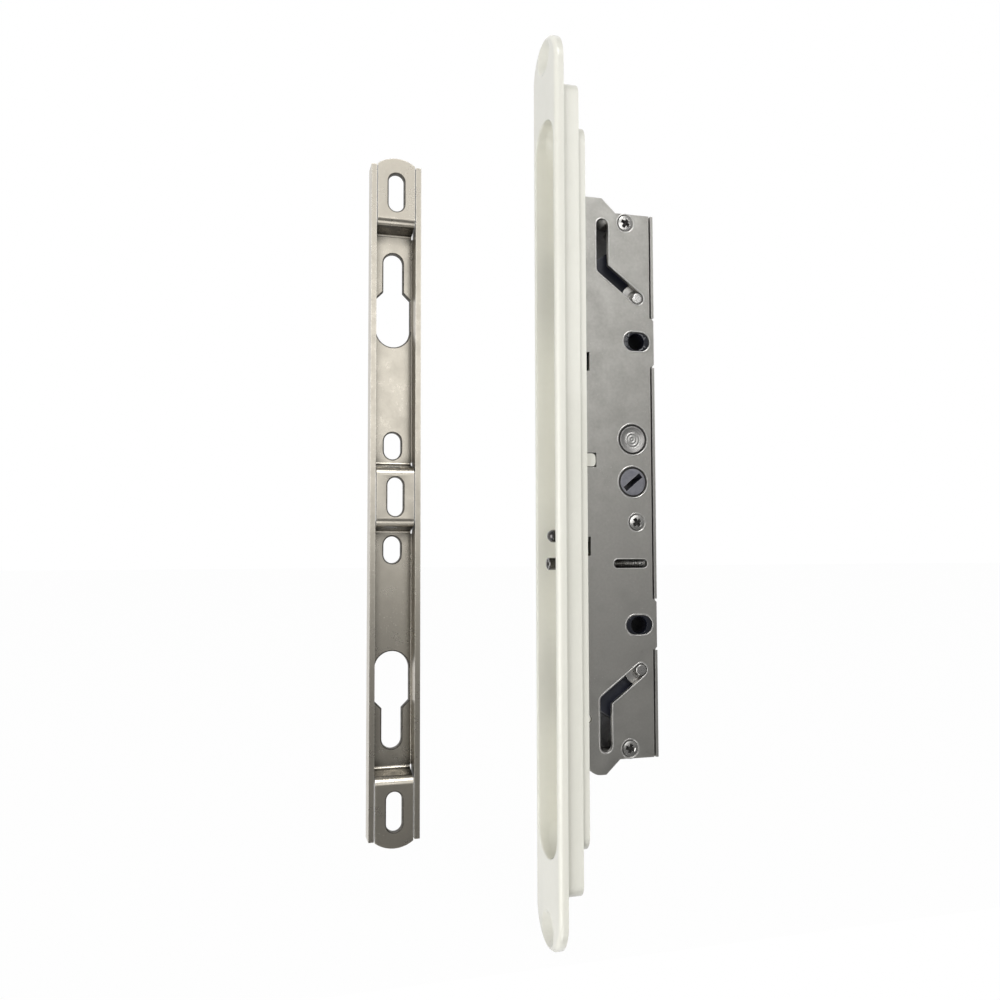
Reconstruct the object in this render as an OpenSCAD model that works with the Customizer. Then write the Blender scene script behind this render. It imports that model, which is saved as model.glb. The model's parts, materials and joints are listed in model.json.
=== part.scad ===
// Two-point mortise lock of a sliding door, with its keeper standing beside it.
// X runs into the door, Y across the door and Z up. The origin is the middle of the
// faceplate's back, the face that seats on the door's edge.

/* [Faceplate] */
// Width of the faceplate across the door's edge
plate_w = 25.4; // [24.6:0.1:28]
// Length of the faceplate
plate_len = 320.4; // [316:0.2:330]
// Thickness of the faceplate
plate_t = 3.2; // [2.6:0.1:4]
// Radius along the faceplate's front edge
plate_round = 1.6; // [0.6:0.1:2.2]
// Distance between the two faceplate screw holes
plate_hole_spacing = 306.4; // [303:0.2:308]
// Diameter of a faceplate screw hole
plate_hole_d = 5.2; // [4.5:0.1:5.8]
// Diameter of a faceplate screw hole's countersink
plate_sink_d = 12.4; // [10:0.1:13]

/* [Recess for the keeper] */
// Width of the recess
recess_w = 20; // [19.2:0.1:20.4]
// Length of the recess
recess_len = 258.8; // [254:0.2:262]
// Depth of the recess from the faceplate's front
recess_depth = 9.6; // [9:0.1:11]
// Thickness of the recess floor
floor_t = 2.2; // [1.6:0.1:3]
// Wall of the recess tub beside the recess
tub_wall = 1.1; // [0.9:0.1:1.6]
// Length of the tub's wide step
tub_len = 281.4; // [274:0.2:290]
// Depth of the tub's wide step behind the faceplate
tub_step = 6; // [4:0.1:7]
// Corner radius of the tub's wide step
tub_corner = 5; // [2:0.1:8]
// Width of the tub's narrow step
boss_w = 20.6; // [18.4:0.1:21.6]
// Length of the tub's narrow step
boss_len = 252; // [240:0.2:266]
// Corner radius of the tub's narrow step
boss_corner = 6; // [2:0.1:9]

/* [Lock case] */
// Depth of the case into the door
case_depth = 26.6; // [26.2:0.1:30]
// Thickness of the case across the door
case_t = 16; // [15.6:0.1:18]
// Length of the case behind its nose
case_len = 191.6; // [190:0.2:196]
// Length of the case along its nose
nose_len = 201.4; // [199:0.2:206]
// Depth of the nose from the case's front
nose_depth = 7; // [6:0.1:7.4]
// Depth over which the outline slopes down from the nose
nose_slope = 5.2; // [2:0.1:5.6]
// Radius of the nose's lower front corner
nose_corner = 5; // [1:0.1:6]
// Thickness of the cover
cover_t = 1.5; // [1.2:0.1:1.6]
// Thickness of the tray's sheet
tray_t = 1; // [0.8:0.1:1.1]
// Gap between the cover's rear edge and the tray's rear wall
rear_gap = 0.6; // [0.3:0.1:1]
// Height of the cover's two lugs
lug_len = 17.3; // [12:0.1:20]
// Height of the lugs' middles above and below the hub
lug_z = 49.9; // [46:0.1:54]
// Depth of the notches in the case's front edge
notch_depth = 2; // [1:0.1:2.4]
// Height of the square front notches
notch_len = 6.6; // [4:0.1:8]
// Height of the upper square notch's middle
upper_notch_z = 42; // [38:0.1:46]
// Height of the lower square notch's middle
lower_notch_z = -22.5; // [-24:0.1:-21]
// Height of the two round notches' middles above and below the hub
round_notch_z = 81.5; // [78:0.1:85]
// Radius of the upper round notch
upper_round_notch_r = 1; // [0.6:0.1:2]
// Radius of the lower round notch
lower_round_notch_r = 1.8; // [0.6:0.1:2.4]
// Height of the peg's middle
peg_z = 7.5; // [6:0.1:10]
// Height of the peg
peg_len = 4.5; // [3:0.1:5]
// Reach of the peg past the case's front edge
peg_reach = 4; // [2:0.1:4.4]

/* [Hub and rocker] */
// Distance of the hub's axis behind the faceplate's back
hub_x = 26.6; // [26.4:0.1:27]
// Diameter of the hub's and the rocker's journals
hub_d = 10; // [8:0.1:10.4]
// Height of the rocker's axis above the hub's
rocker_rise = 15.05; // [15.05:0.05:15.6]
// Length of the tail slot in the hub
tail_len = 7.9; // [5:0.1:8]
// Width of the tail slot in the hub
tail_w = 1.95; // [1.4:0.05:2.6]
// Angle of the tail slot from level, in degrees
tail_angle = 40; // [0:1:90]
// Length of a lever from its axis to its drive pin
lever_r = 13; // [12.8:0.1:13.2]
// Thickness of a lever
lever_t = 1.9; // [1.4:0.1:2]
// Diameter of a drive pin
drive_pin_d = 3; // [2.4:0.1:3.2]
// Teeth of a full wheel with the sectors' pitch
teeth = 15; // [13:1:17]

/* [Bolt travel] */
// Travel of the drive bars while the bolts reach out
lift = 10; // [9:0.1:10.4]
// Reach of the bolts
throw = 13.2; // [12:0.1:13.4]
// Distance of the guide slots' far ends from the case's ends
slot_end_edge = 4.8; // [4.2:0.1:8]

/* [Guide slots and pins] */
// Distance of a guide pin behind the faceplate's back, at rest
pin_x = 29; // [28.8:0.1:29.4]
// Height of the upper guide pin above its stud, at rest
pin_over_stud = 9.1; // [8.9:0.1:9.9]
// Diameter of a guide pin
pin_d = 3.9; // [3:0.1:4]
// Clearance round a pin in its slot
pin_gap = 0.25; // [0.1:0.05:0.3]
// Diameter of the round boss that holds a guide pin
boss_d = 10.8; // [8:0.1:11]

/* [Mushroom studs] */
// Height of the upper stud above its handle screw, at rest
stud_over_handle = 6.5; // [6.3:0.1:7]
// Diameter of a stud's head
stud_head_d = 11.4; // [9:0.1:11.6]
// Thickness of a stud's head
stud_head_t = 2.8; // [2:0.1:3]
// Height and width of a bolt's shank
shank = 6.2; // [5:0.1:6.4]

/* [Handle screws] */
// Distance between the two handle screws
handle_spacing = 100; // [99:0.1:101]
// Distance of the handle screws behind the faceplate's back
handle_x = 28.5; // [28.2:0.1:28.6]
// Bore for a handle screw
handle_hole_d = 5.4; // [4.6:0.1:5.6]
// Width of a handle screw's opening in the case
handle_slot_w = 9.8; // [9:0.1:9.8]
// Height of a handle screw's opening in the case
handle_slot_h = 6.7; // [6.3:0.1:7]

/* [Case screws] */
// Distance of the two end screws behind the faceplate's back
end_screw_x = 24.6; // [24:0.1:27]
// Distance of the end screws from the case's ends
end_screw_edge = 3.4; // [3.2:0.1:4]
// Distance of the middle screw behind the faceplate's back
mid_screw_x = 27.9; // [27.4:0.1:30]
// Height of the middle screw
mid_screw_z = -14.2; // [-14.2:0.05:-14]
// Diameter of a screw's head
screw_head_d = 5.6; // [5:0.1:5.8]
// Diameter of a screw's shank
screw_d = 3; // [2.5:0.1:3.2]
// Diameter of a post
post_d = 4.4; // [4.2:0.1:4.6]

/* [Trigger] */
// Height of the trigger
trigger_z = -18.9; // [-19:0.05:-18.9]
// Diameter of the trigger's nose
trigger_d = 4.5; // [4:0.1:4.6]
// Travel of the trigger
trigger_travel = 6; // [3:0.1:6.2]
// Diameter of the trigger's stem
stem_d = 2.6; // [2:0.1:2.8]
// Turns of the trigger's spring
spring_turns = 7; // [4:1:9]
// Wire diameter of the trigger's spring
spring_wire = 0.6; // [0.4:0.1:0.7]

/* [Reach adjuster] */
// Height of the adjusting screw
adjuster_z = -28.6; // [-29:0.1:-28.6]
// Diameter of the adjusting screw's head
adjuster_head_d = 4.4; // [4:0.1:4.8]
// Diameter of the adjusting screw's thread
adjuster_d = 4; // [3.4:0.1:4]
// Width of the window over the thread
window_w = 12.6; // [8:0.1:13]
// Height of the window over the thread
window_h = 3; // [2:0.1:4]
// Distance of the window's middle behind the faceplate's back
window_x = 25.4; // [25:0.1:26]
// Travel of the nut to each side
nut_travel = 1.4; // [0.7:0.1:1.5]

/* [Keeper] */
// Width of the keeper
keeper_w = 18.4; // [17:0.1:19]
// Length of the keeper's walls
keeper_len = 244.4; // [242:0.2:248]
// Length of the keeper over its two end tabs
keeper_tab_len = 249.8; // [249:0.2:252]
// Depth of the keeper
keeper_depth = 9.5; // [8.6:0.1:10.5]
// Thickness of the keeper's sheet
keeper_t = 2; // [1.6:0.1:2.4]
// Distance between the middle screw slot and each end slot
keeper_slot_spacing = 112.2; // [111.6:0.1:113]
// Width of a keeper screw slot
keeper_slot_w = 5.7; // [4.8:0.1:6]
// Length of a keeper screw slot
keeper_slot_len = 14; // [10:0.1:14.4]
// Length of a keyhole over both its runs
keyhole_len = 35.2; // [32:0.1:36.2]
// Length of a keyhole's wide run, up to where it starts to narrow
keyhole_wide_len = 17.9; // [17:0.1:19]
// How far a keyhole's wide run begins below the axis of its stud at rest
keyhole_drop = 0.2; // [-1.5:0.1:2.5]
// Width of a keyhole's narrow run
keyhole_narrow = 7.2; // [6.6:0.1:8]
// Width of a keyhole's wide run
keyhole_wide = 12.6; // [12:0.1:13]
// Width of the two small holes beside the bridge
port_w = 6.3; // [5:0.1:7]
// Length of the two small holes beside the bridge
port_len = 9.8; // [8:0.1:10]
// Height of the small holes' middles above and below the bridge
port_z = 19.2; // [18.6:0.1:20]
// Distance of the keeper from the faceplate's back, towards the jamb
keeper_x = 52.5; // [40:0.1:70]
// Distance of the keeper's open edge behind the lock's middle plane
keeper_y = 23.4; // [0:0.1:40]
// Height of the keeper's middle above the hub
keeper_z = -4.4; // [-10:0.1:10]

/* [Hidden] */

$fn = 48;
upper = 1;                                      // the upper half of the lock
lower = -1;                                     // the lower half, its mirror image
cut = 1;                                        // how far a cutter runs past a face
slack = 0.3;                                    // gap between parts that don't touch
fit_gap = 0.05;                                 // radial gap of a running fit
face_gap = 0.15;                                // gap beside a part that slides

front_x = -plate_t;                             // the faceplate's front
floor_x = recess_depth - plate_t;               // the recess floor
case_x = floor_x + floor_t;                     // the case's front, on the tub's back
tub_w = recess_w + 2 * tub_wall;
rear_x = case_x + case_depth;                   // the tray's rear face
wall_x = case_x + tray_t;                       // the front wall's inner face
inner_rear_x = rear_x - tray_t;
cover_rear_x = inner_rear_x - rear_gap;
cover_y = -case_t / 2;                          // the cover's outer face
cover_in_y = cover_y + cover_t;
end_screw_z = case_len / 2 - end_screw_edge;
tray_y = case_t / 2;                            // the tray's outer face
tray_in_y = tray_y - tray_t;

lever_y = cover_in_y + slack;                   // front of the levers and the pin bosses
bar_y = lever_y + lever_t + slack;              // front of the drive bars
bar_back_y = tray_in_y - slack;
strap_t = 3;
channel_y = shank / 2 + slack;                  // back of the shanks' channels

swing = asin(lift / 2 / lever_r);               // each lever swings this far to each side
stud_z = handle_spacing / 2 + stud_over_handle; // studs above and below the hub, at rest
pin_z = stud_z + pin_over_stud;
corner_x = pin_x - throw;                       // where the guide slot turns upright
corner_z = pin_z + lift;
slot_end_z = case_len / 2 - slot_end_edge;
slot_w = pin_d + 2 * pin_gap;
window_reach = slot_end_z - pin_over_stud;      // highest place of a stud's axis

pitch_r = rocker_rise / 2;                      // pitch radius of the two sectors
module_size = 2 * pitch_r / teeth;
tip_r = pitch_r + 0.9 * module_size;
root_r = pitch_r - 1.2 * module_size;
tooth_angle = 360 / teeth;

// Box from one corner to the opposite one.
module block(low, high) {
    translate(low) cube(high - low);
}

// Round bar along X, from one place to another.
module bar_x(x0, x1, d0, d1 = -1) {
    translate([x0, 0, 0]) rotate([0, 90, 0])
        cylinder(h = x1 - x0, d1 = d0, d2 = d1 < 0 ? d0 : d1);
}

// Round bar along Y, from one place to another.
module bar_y(y0, y1, d0, d1 = -1) {
    translate([0, y0, 0]) rotate([-90, 0, 0])
        cylinder(h = y1 - y0, d1 = d0, d2 = d1 < 0 ? d0 : d1);
}

// Slab across X with rounded ends, as long as it says along Z.
module stadium_x(x0, x1, w, len) {
    block([x0, -w / 2, -(len - w) / 2], [x1, w / 2, (len - w) / 2]);
    for (s = [upper, lower]) translate([0, 0, s * (len - w) / 2]) bar_x(x0, x1, w);
}

// Slab across X with rounded corners.
module rounded_x(x0, x1, w, len, r) {
    block([x0, -w / 2, -len / 2 + r], [x1, w / 2, len / 2 - r]);
    block([x0, -w / 2 + r, -len / 2], [x1, w / 2 - r, len / 2]);
    for (sy = [1, -1], sz = [upper, lower])
        translate([0, sy * (w / 2 - r), sz * (len / 2 - r)]) bar_x(x0, x1, 2 * r);
}

// Slot along Y with round ends, through a list of places in the X-Z plane.
module track(places, w, y0, y1) {
    for (p = places) translate([p[0], 0, p[1]]) bar_y(y0, y1, w);
    for (i = [1 : len(places) - 1]) {
        run = places[i] - places[i - 1];
        translate([places[i - 1][0], 0, places[i - 1][1]]) rotate([0, -atan2(run[1], run[0]), 0])
            block([0, y0, -w / 2], [norm(run), y1, w / 2]);
    }
}

// Slab across Y with round ends, lying along X about the middle.
module oblong(w, h, y0, y1) {
    track([[(h - w) / 2, 0], [(w - h) / 2, 0]], h, y0, y1);
}

// The faceplate's body: a bar with a rounded front edge and half-round ends.
module plate_body() {
    side_t = plate_t - plate_round;
    straight = plate_len - plate_w;
    translate([0, 0, -straight / 2]) linear_extrude(straight) {
        translate([-side_t, -plate_w / 2]) square([side_t, plate_w]);
        translate([front_x, -plate_w / 2 + plate_round])
            square([plate_t, plate_w - 2 * plate_round]);
        for (s = [1, -1]) translate([-side_t, s * (plate_w / 2 - plate_round)])
            circle(plate_round);
    }
    for (s = [upper, lower]) translate([0, 0, s * straight / 2]) rotate([0, -90, 0])
        rotate_extrude($fn = 96) {
            square([plate_w / 2, side_t]);
            square([plate_w / 2 - plate_round, plate_t]);
            intersection() {
                translate([plate_w / 2 - plate_round, side_t]) circle(plate_round);
                square([plate_w, plate_t]);
            }
        }
}

// The windows that the studs pass through, in the recess floor and the case's front.
module stud_windows(x0, x1) {
    w = stud_head_d + 2 * slack;
    for (s = [upper, lower]) {
        translate([0, 0, s * stud_z]) bar_x(x0, x1, w);
        translate([0, 0, s * window_reach]) bar_x(x0, x1, w);
        block([x0, -w / 2, min(s * stud_z, s * window_reach)],
              [x1, w / 2, max(s * stud_z, s * window_reach)]);
    }
}

fixing_z = nose_len / 2 - 5.2;                  // the screws that hold the casting to the case
fixing_d = 3.2;
fixing_head_d = 6;
fixing_head_t = 1.5;
fixing_len = 6;

// Faceplate, tub and peg, cast in one.
module faceplate_casting() {
    color([0.93, 0.92, 0.87]) difference() {
        union() {
            plate_body();
            rounded_x(0, tub_step, tub_w, tub_len, tub_corner);
            rounded_x(0, case_x, boss_w, boss_len, boss_corner);
            peg();
            translate([case_x, 0, -round_notch_z])
                bar_y(cover_y + 0.3, cover_in_y - 0.05, 2 * (lower_round_notch_r - slack));
        }
        stadium_x(front_x - cut, floor_x, recess_w, recess_len);
        for (s = [upper, lower]) {
            translate([0, 0, s * plate_hole_spacing / 2]) {
                bar_x(front_x - cut, cut, plate_hole_d);
                bar_x(front_x, front_x + (plate_sink_d - plate_hole_d) / 2.6,
                    plate_sink_d, plate_hole_d);
            }
            translate([0, 0, s * fixing_z]) {
                bar_x(floor_x - cut, case_x + cut, fixing_d + 2 * face_gap);
                bar_x(floor_x, floor_x + fixing_head_t, fixing_head_d + 2 * face_gap,
                    fixing_d + 2 * face_gap);
            }
        }
        stud_windows(floor_x - cut, case_x + cut);
        translate([0, 0, trigger_z]) bar_x(floor_x - cut, case_x + cut, trigger_d + 2 * face_gap);
        translate([0, 0, adjuster_z])
            bar_x(floor_x - cut, case_x + cut, adjuster_head_d + 2 * face_gap);
    }
}

// The casting's peg, which lies in a notch of the cover.
module peg() {
    r = 1.4;
    y1 = cover_in_y;
    translate([0, 0, peg_z]) {
        block([case_x - floor_t, cover_y + 0.1, -peg_len / 2],
              [case_x + peg_reach - r, y1, peg_len / 2]);
        for (s = [1, -1]) translate([case_x + peg_reach - r, 0, s * (peg_len / 2 - r)])
            bar_y(cover_y + 0.1, y1, 2 * r);
        block([case_x, cover_y + 0.1, -peg_len / 2 + r],
              [case_x + peg_reach, y1, peg_len / 2 - r]);
    }
}

// Outline of the case in the X-Z plane, drawn in by an inset.
function case_outline(x1, inset) = let(
        x0 = case_x + inset,
        low = case_len / 2 - inset,
        high = nose_len / 2 - inset,
        fall = (nose_len - case_len) / 2,
        shift = inset * (norm([nose_slope, fall]) - fall) / nose_slope,
        a = case_x + nose_depth - inset * (norm([nose_slope, fall]) - nose_slope) / fall,
        b = case_x + nose_depth + nose_slope - inset * (norm([nose_slope, fall])
            - nose_slope) / fall)
    [[x0, -high], [a, -high], [b, -low], [x1, -low], [x1, low], [b, low], [a, high], [x0, high]];

// The case's outline as a solid between two planes across Y.
module case_slab(y0, y1, x1, inset = 0) {
    r = max(nose_corner - inset, 0.5);
    high = nose_len / 2 - inset;
    difference() {
        translate([0, y1, 0]) rotate([90, 0, 0]) linear_extrude(y1 - y0)
            polygon(case_outline(x1, inset));
        difference() {
            block([case_x - cut, y0 - cut, -high - cut], [case_x + inset + r, y1 + cut, -high + r]);
            translate([case_x + inset + r, 0, -high + r]) bar_y(y0 - 2 * cut, y1 + 2 * cut, 2 * r);
        }
    }
}

// The bent guide slot of one half, cut along Y.
module guide_slot(s, y0, y1) {
    track([[pin_x, s * pin_z], [corner_x, s * corner_z], [corner_x, s * slot_end_z]],
        slot_w, y0, y1);
}

// The openings that the cover and the tray share.
module side_openings(y0, y1) {
    for (s = [upper, lower]) {
        guide_slot(s, y0, y1);
        translate([handle_x, 0, s * handle_spacing / 2])
            oblong(handle_slot_w, handle_slot_h, y0, y1);
    }
    for (z = [0, rocker_rise]) translate([hub_x, 0, z]) bar_y(y0, y1, hub_d + 2 * fit_gap);
}

screw_places = [[end_screw_x, end_screw_z], [mid_screw_x, mid_screw_z],
    [end_screw_x, -end_screw_z]];

notch_fold = 4;                                 // how far a notch runs into the front wall

// The square notches in the case's front edge.
module front_notches(y0, y1) {
    for (z = [upper_notch_z, lower_notch_z])
        block([case_x - cut, y0, z - notch_len / 2],
              [case_x + notch_depth, y1, z + notch_len / 2]);
}

// Back and walls of the case, folded from one sheet.
module case_tray() {
    color([0.66, 0.65, 0.62]) difference() {
        case_slab(cover_in_y, tray_y, rear_x);
        case_slab(cover_in_y - cut, tray_in_y, inner_rear_x, tray_t);
        side_openings(tray_in_y - cut, tray_y + cut);
        stud_windows(case_x - cut, wall_x + cut);
        front_notches(cover_in_y - cut, cover_in_y + notch_fold);
        for (z = [trigger_z, adjuster_z]) translate([0, 0, z])
            bar_x(case_x - cut, wall_x + cut, trigger_d + 2 * face_gap);
        for (s = [upper, lower]) translate([0, 0, s * fixing_z])
            bar_x(case_x - cut, wall_x + cut, fixing_d + 2 * fit_gap);
    }
    color([0.66, 0.65, 0.62]) rear_lip();
}

// The rear wall's edge, which stands up to the cover's face between the lugs.
module rear_lip() {
    low = case_len / 2;
    notch = lug_len / 2 + slack;
    for (span = [[-low, -lug_z - notch], [-lug_z + notch, lug_z - notch], [lug_z + notch, low]])
        block([inner_rear_x, cover_y, span[0]], [rear_x, cover_in_y, span[1]]);
}

// Flat cover of the case, with its lugs over the tray's rear wall.
module case_cover() {
    color([0.68, 0.67, 0.64]) difference() {
        union() {
            case_slab(cover_y, cover_in_y, cover_rear_x);
            for (s = [upper, lower]) lug(s);
        }
        side_openings(cover_y - cut, cover_in_y + cut);
        front_notches(cover_y - cut, cover_in_y + cut);
        translate([case_x, 0, round_notch_z])
            bar_y(cover_y - cut, cover_in_y + cut, 2 * upper_round_notch_r);
        translate([case_x, 0, -round_notch_z])
            bar_y(cover_y - cut, cover_in_y + cut, 2 * lower_round_notch_r);
        block([case_x - cut, cover_y - cut, peg_z - peg_len / 2 - slack],
              [case_x + peg_reach + slack, cover_in_y + cut, peg_z + peg_len / 2 + slack]);
        translate([window_x, 0, adjuster_z])
            oblong(window_w, window_h, cover_y - cut, cover_in_y + cut);
        for (p = screw_places) translate([p[0], 0, p[1]]) {
            bar_y(cover_y - cut, cover_in_y + cut, screw_d + 2 * slack);
            bar_y(cover_y, cover_in_y, screw_head_d + 2 * face_gap, screw_d + 2 * slack);
        }
    }
}

// One lug of the cover, with its corners cut at an angle.
module lug(s) {
    reach = rear_x - cover_rear_x - 0.1;
    slant = 0.8;
    translate([cover_rear_x, cover_in_y, s * lug_z]) rotate([90, 0, 0]) linear_extrude(cover_t)
        polygon([[-cut, -lug_len / 2], [reach - slant, -lug_len / 2],
                 [reach, -lug_len / 2 + slant], [reach, lug_len / 2 - slant],
                 [reach - slant, lug_len / 2], [-cut, lug_len / 2]]);
}

// Posts between the tray and the cover, bored for the case screws.
module case_posts() {
    color([0.72, 0.71, 0.68]) for (p = screw_places) translate([p[0], 0, p[1]])
        difference() {
            bar_y(cover_in_y, tray_in_y, post_d);
            bar_y(cover_in_y - cut, tray_in_y - 2, screw_d + 2 * fit_gap);
        }
}

// Countersunk cross-head screws of the cover.
module case_screws() {
    cross_w = 0.8;
    cross_len = 3.4;
    color([0.85, 0.84, 0.8]) for (p = screw_places) translate([p[0], 0, p[1]])
        difference() {
            union() {
                bar_y(cover_y - 0.25, cover_y, screw_head_d - 0.8, screw_head_d);
                bar_y(cover_y, cover_in_y - 0.1, screw_head_d, screw_d + 0.2);
                bar_y(cover_in_y - 0.2, tray_in_y - 3, screw_d);
            }
            for (a = [45, 135]) rotate([0, a, 0])
                block([-cross_len / 2, cover_y - cut, -cross_w / 2],
                      [cross_len / 2, cover_y + 0.9, cross_w / 2]);
        }
}

// Screws through the recess floor into the case's front wall.
module faceplate_fixing_screws() {
    color([0.8, 0.79, 0.76]) for (s = [upper, lower]) translate([0, 0, s * fixing_z])
        difference() {
            union() {
                bar_x(floor_x, floor_x + fixing_head_t, fixing_head_d, fixing_d);
                bar_x(floor_x + fixing_head_t, floor_x + fixing_len, fixing_d);
            }
            for (a = [45, 135]) rotate([a, 0, 0])
                block([floor_x - cut, -1.7, -0.4], [floor_x + 0.9, 1.7, 0.4]);
        }
}

// Plastic bushes that line the handle screw openings.
module handle_screw_bushes() {
    w = handle_slot_w - 2 * face_gap;
    h = handle_slot_h - 2 * face_gap;
    flange = 1;
    color([0.1, 0.1, 0.12]) for (s = [upper, lower]) translate([handle_x, 0, s * handle_spacing / 2])
        difference() {
            union() {
                oblong(w, h, cover_y + 0.4, tray_y);
                oblong(w + flange, h, cover_in_y + 0.1, tray_in_y);
            }
            bar_y(cover_y - cut, tray_y + cut, handle_hole_d);
            bar_y(cover_y, cover_y + 1.6, handle_hole_d + 0.9, handle_hole_d);
        }
}

// Shape of the seat that turns a lever with its spindle: a round with two pairs of flats.
seat_w = 0.86 * hub_d;
module seat_shape(gap) {
    intersection() {
        square(seat_w + gap, center = true);
        circle(d = hub_d + 0.6 + gap);
    }
}

// Hub or rocker: a turned and milled spindle whose lever seat stands at the angle given.
module spindle(turn) {
    collar_d = hub_d + 2.6;
    difference() {
        union() {
            bar_y(cover_y + 0.1, lever_y, hub_d);
            rotate([0, turn, 0]) translate([0, bar_y, 0]) rotate([90, 0, 0])
                linear_extrude(bar_y - lever_y + slack / 2) seat_shape(0);
            bar_y(bar_y - slack, channel_y, collar_d);
            bar_y(channel_y, tray_y - 0.1, hub_d);
        }
        children();
    }
}

module hub() {
    color([0.62, 0.6, 0.62]) translate([hub_x, 0, 0]) spindle(swing) {
        rotate([0, -tail_angle, 0])
            block([-tail_len / 2, cover_y - cut, -tail_w / 2],
                  [tail_len / 2, tray_y + cut, tail_w / 2]);
    }
}

module rocker() {
    color([0.66, 0.65, 0.62]) translate([hub_x, 0, rocker_rise]) spindle(-swing) {
        bar_y(cover_y - cut, cover_y + 0.5, hub_d * 0.66);
        bar_y(cover_y - cut, cover_y + 0.35, hub_d * 0.88, hub_d * 0.84);
    }
}

// Flank of an involute tooth: the place on it at a radius, as an angle from the tooth's middle.
pressure = 20;
base_r = pitch_r * cos(pressure);
function involute(r) = let(c = max(1, r / base_r), t = sqrt(c * c - 1))
    t * 180 / PI - atan(t);
backlash = 1.2;                                 // angle taken off each tooth, in degrees
function flank(r) = (tooth_angle / 2 - backlash) / 2 + involute(pitch_r) - involute(r);
function polar(r, a) = [r * cos(a), r * sin(a)];

// One tooth, from the root to the tip, about the angle that it stands at.
module tooth(at) {
    steps = 5;
    radii = [for (i = [0 : steps]) max(root_r, base_r) + (tip_r - max(root_r, base_r)) * i / steps];
    polygon(concat(
        [polar(root_r - 0.4, at - flank(base_r) - 1), polar(root_r, at - flank(base_r) - 0.5)],
        [for (r = radii) polar(r, at - flank(r))],
        [for (i = [steps : -1 : 0]) polar(radii[i], at + flank(radii[i]))],
        [polar(root_r, at + flank(base_r) + 0.5), polar(root_r - 0.4, at + flank(base_r) + 1)]));
}

// Lever with a toothed sector. The lever's arm points along -X and the sector is centred on
// the angle given, as both stand at mid swing. Each tooth's place counts in whole teeth.
module lever(sector, places) {
    arm_w = drive_pin_d + 1.7;
    translate([0, bar_y - slack, 0]) rotate([90, 0, 0]) linear_extrude(lever_t) difference() {
        union() {
            circle(root_r);
            for (i = places) tooth(sector + i * tooth_angle);
            translate([-lever_r, -arm_w / 2]) square([lever_r, arm_w]);
            translate([-lever_r, 0]) circle(d = arm_w);
        }
        seat_shape(0.1);
        translate([-lever_r, 0]) circle(d = drive_pin_d + 2 * fit_gap);
    }
}

// Both levers stand at one end of their swing, with the bolts drawn in.
module hub_lever() {
    color([0.58, 0.57, 0.55]) translate([hub_x, 0, 0]) rotate([0, swing, 0])
        lever(90, [-1, 0, 1]);
}

module rocker_lever() {
    color([0.58, 0.57, 0.55]) translate([hub_x, 0, rocker_rise]) rotate([0, -swing, 0])
        lever(-90, [-1.5, -0.5, 0.5, 1.5]);
}

// Drive pins, riveted into the levers.
rest_pin_x = hub_x - lever_r * cos(swing);
module drive_pin(z, y1) {
    color([0.8, 0.79, 0.76]) translate([rest_pin_x, 0, z]) bar_y(lever_y, y1, drive_pin_d);
}
module hub_drive_pin() drive_pin(lift / 2, bar_back_y);
module rocker_drive_pin() drive_pin(rocker_rise - lift / 2, bar_y + strap_t);

// Outline of the bolt carrier, the wide end of a drive bar.
carrier_x = wall_x + 0.6;
carrier_rear_x = inner_rear_x - 2.6;
strap_w = 6;
strap_x = [carrier_x + 1, carrier_x + 1 + strap_w];
carrier_low = stud_z - shank / 2 - 4;
carrier_mid = end_screw_z - post_d / 2 - lift - 1.4;
carrier_spare = 6;                              // room over the carrier when it is up
carrier_notch = 6;                              // height of the step at its front
carrier_top = nose_len / 2 - tray_t - lift - carrier_spare;
carrier_step_x = end_screw_x - post_d / 2 - 1.2;

// One drive bar: a moulded carrier for its bolt, and a strap to its lever.
module drive_bar(s, strap_y, pin_at) {
    head = [rest_pin_x - 4.2, rest_pin_x + 3.8];
    head_end = abs(pin_at) - drive_pin_d / 2 - 1.7;
    low = s * pin_at > 0 ? s * pin_at - drive_pin_d / 2 - 1.7 : head_end;
    bush_top = handle_spacing / 2 + handle_slot_h / 2 + 1.2;
    color([0.11, 0.11, 0.13]) mirror([0, 0, s == upper ? 0 : 1]) difference() {
        union() {
            translate([0, bar_back_y, 0]) rotate([90, 0, 0]) linear_extrude(bar_back_y - bar_y)
                polygon([[carrier_x, carrier_low], [handle_x - handle_slot_w / 2 - 1.2, carrier_low],
                    [handle_x - handle_slot_w / 2 - 1.2, bush_top], [carrier_rear_x, bush_top],
                    [carrier_rear_x, carrier_mid], [carrier_step_x, carrier_mid],
                    [carrier_step_x, carrier_top], [carrier_x + 2.4, carrier_top - carrier_notch],
                    [carrier_x, carrier_top - carrier_notch]]);
            block([strap_x[0], strap_y, low], [strap_x[1], strap_y + strap_t, carrier_low + cut]);
            block([head[0], strap_y, low], [head[1], strap_y + strap_t, low + 2 * drive_pin_d + 3]);
        }
        block([carrier_x - cut, bar_y - cut, stud_z - shank / 2 - face_gap],
              [carrier_rear_x + cut, channel_y, stud_z + shank / 2 + face_gap]);
        track([[corner_x, pin_z], [pin_x, pin_z]], pin_d + 2 * face_gap,
            bar_y - cut, bar_back_y + cut);
        track([[hub_x - lever_r - 0.1, s * pin_at], [rest_pin_x + 0.1, s * pin_at]],
            drive_pin_d + 2 * face_gap, strap_y - cut, strap_y + strap_t + cut);
    }
}
module upper_drive_bar() drive_bar(upper, bar_y, rocker_rise - lift / 2);
module lower_drive_bar() drive_bar(lower, bar_back_y - strap_t, lift / 2);

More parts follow.
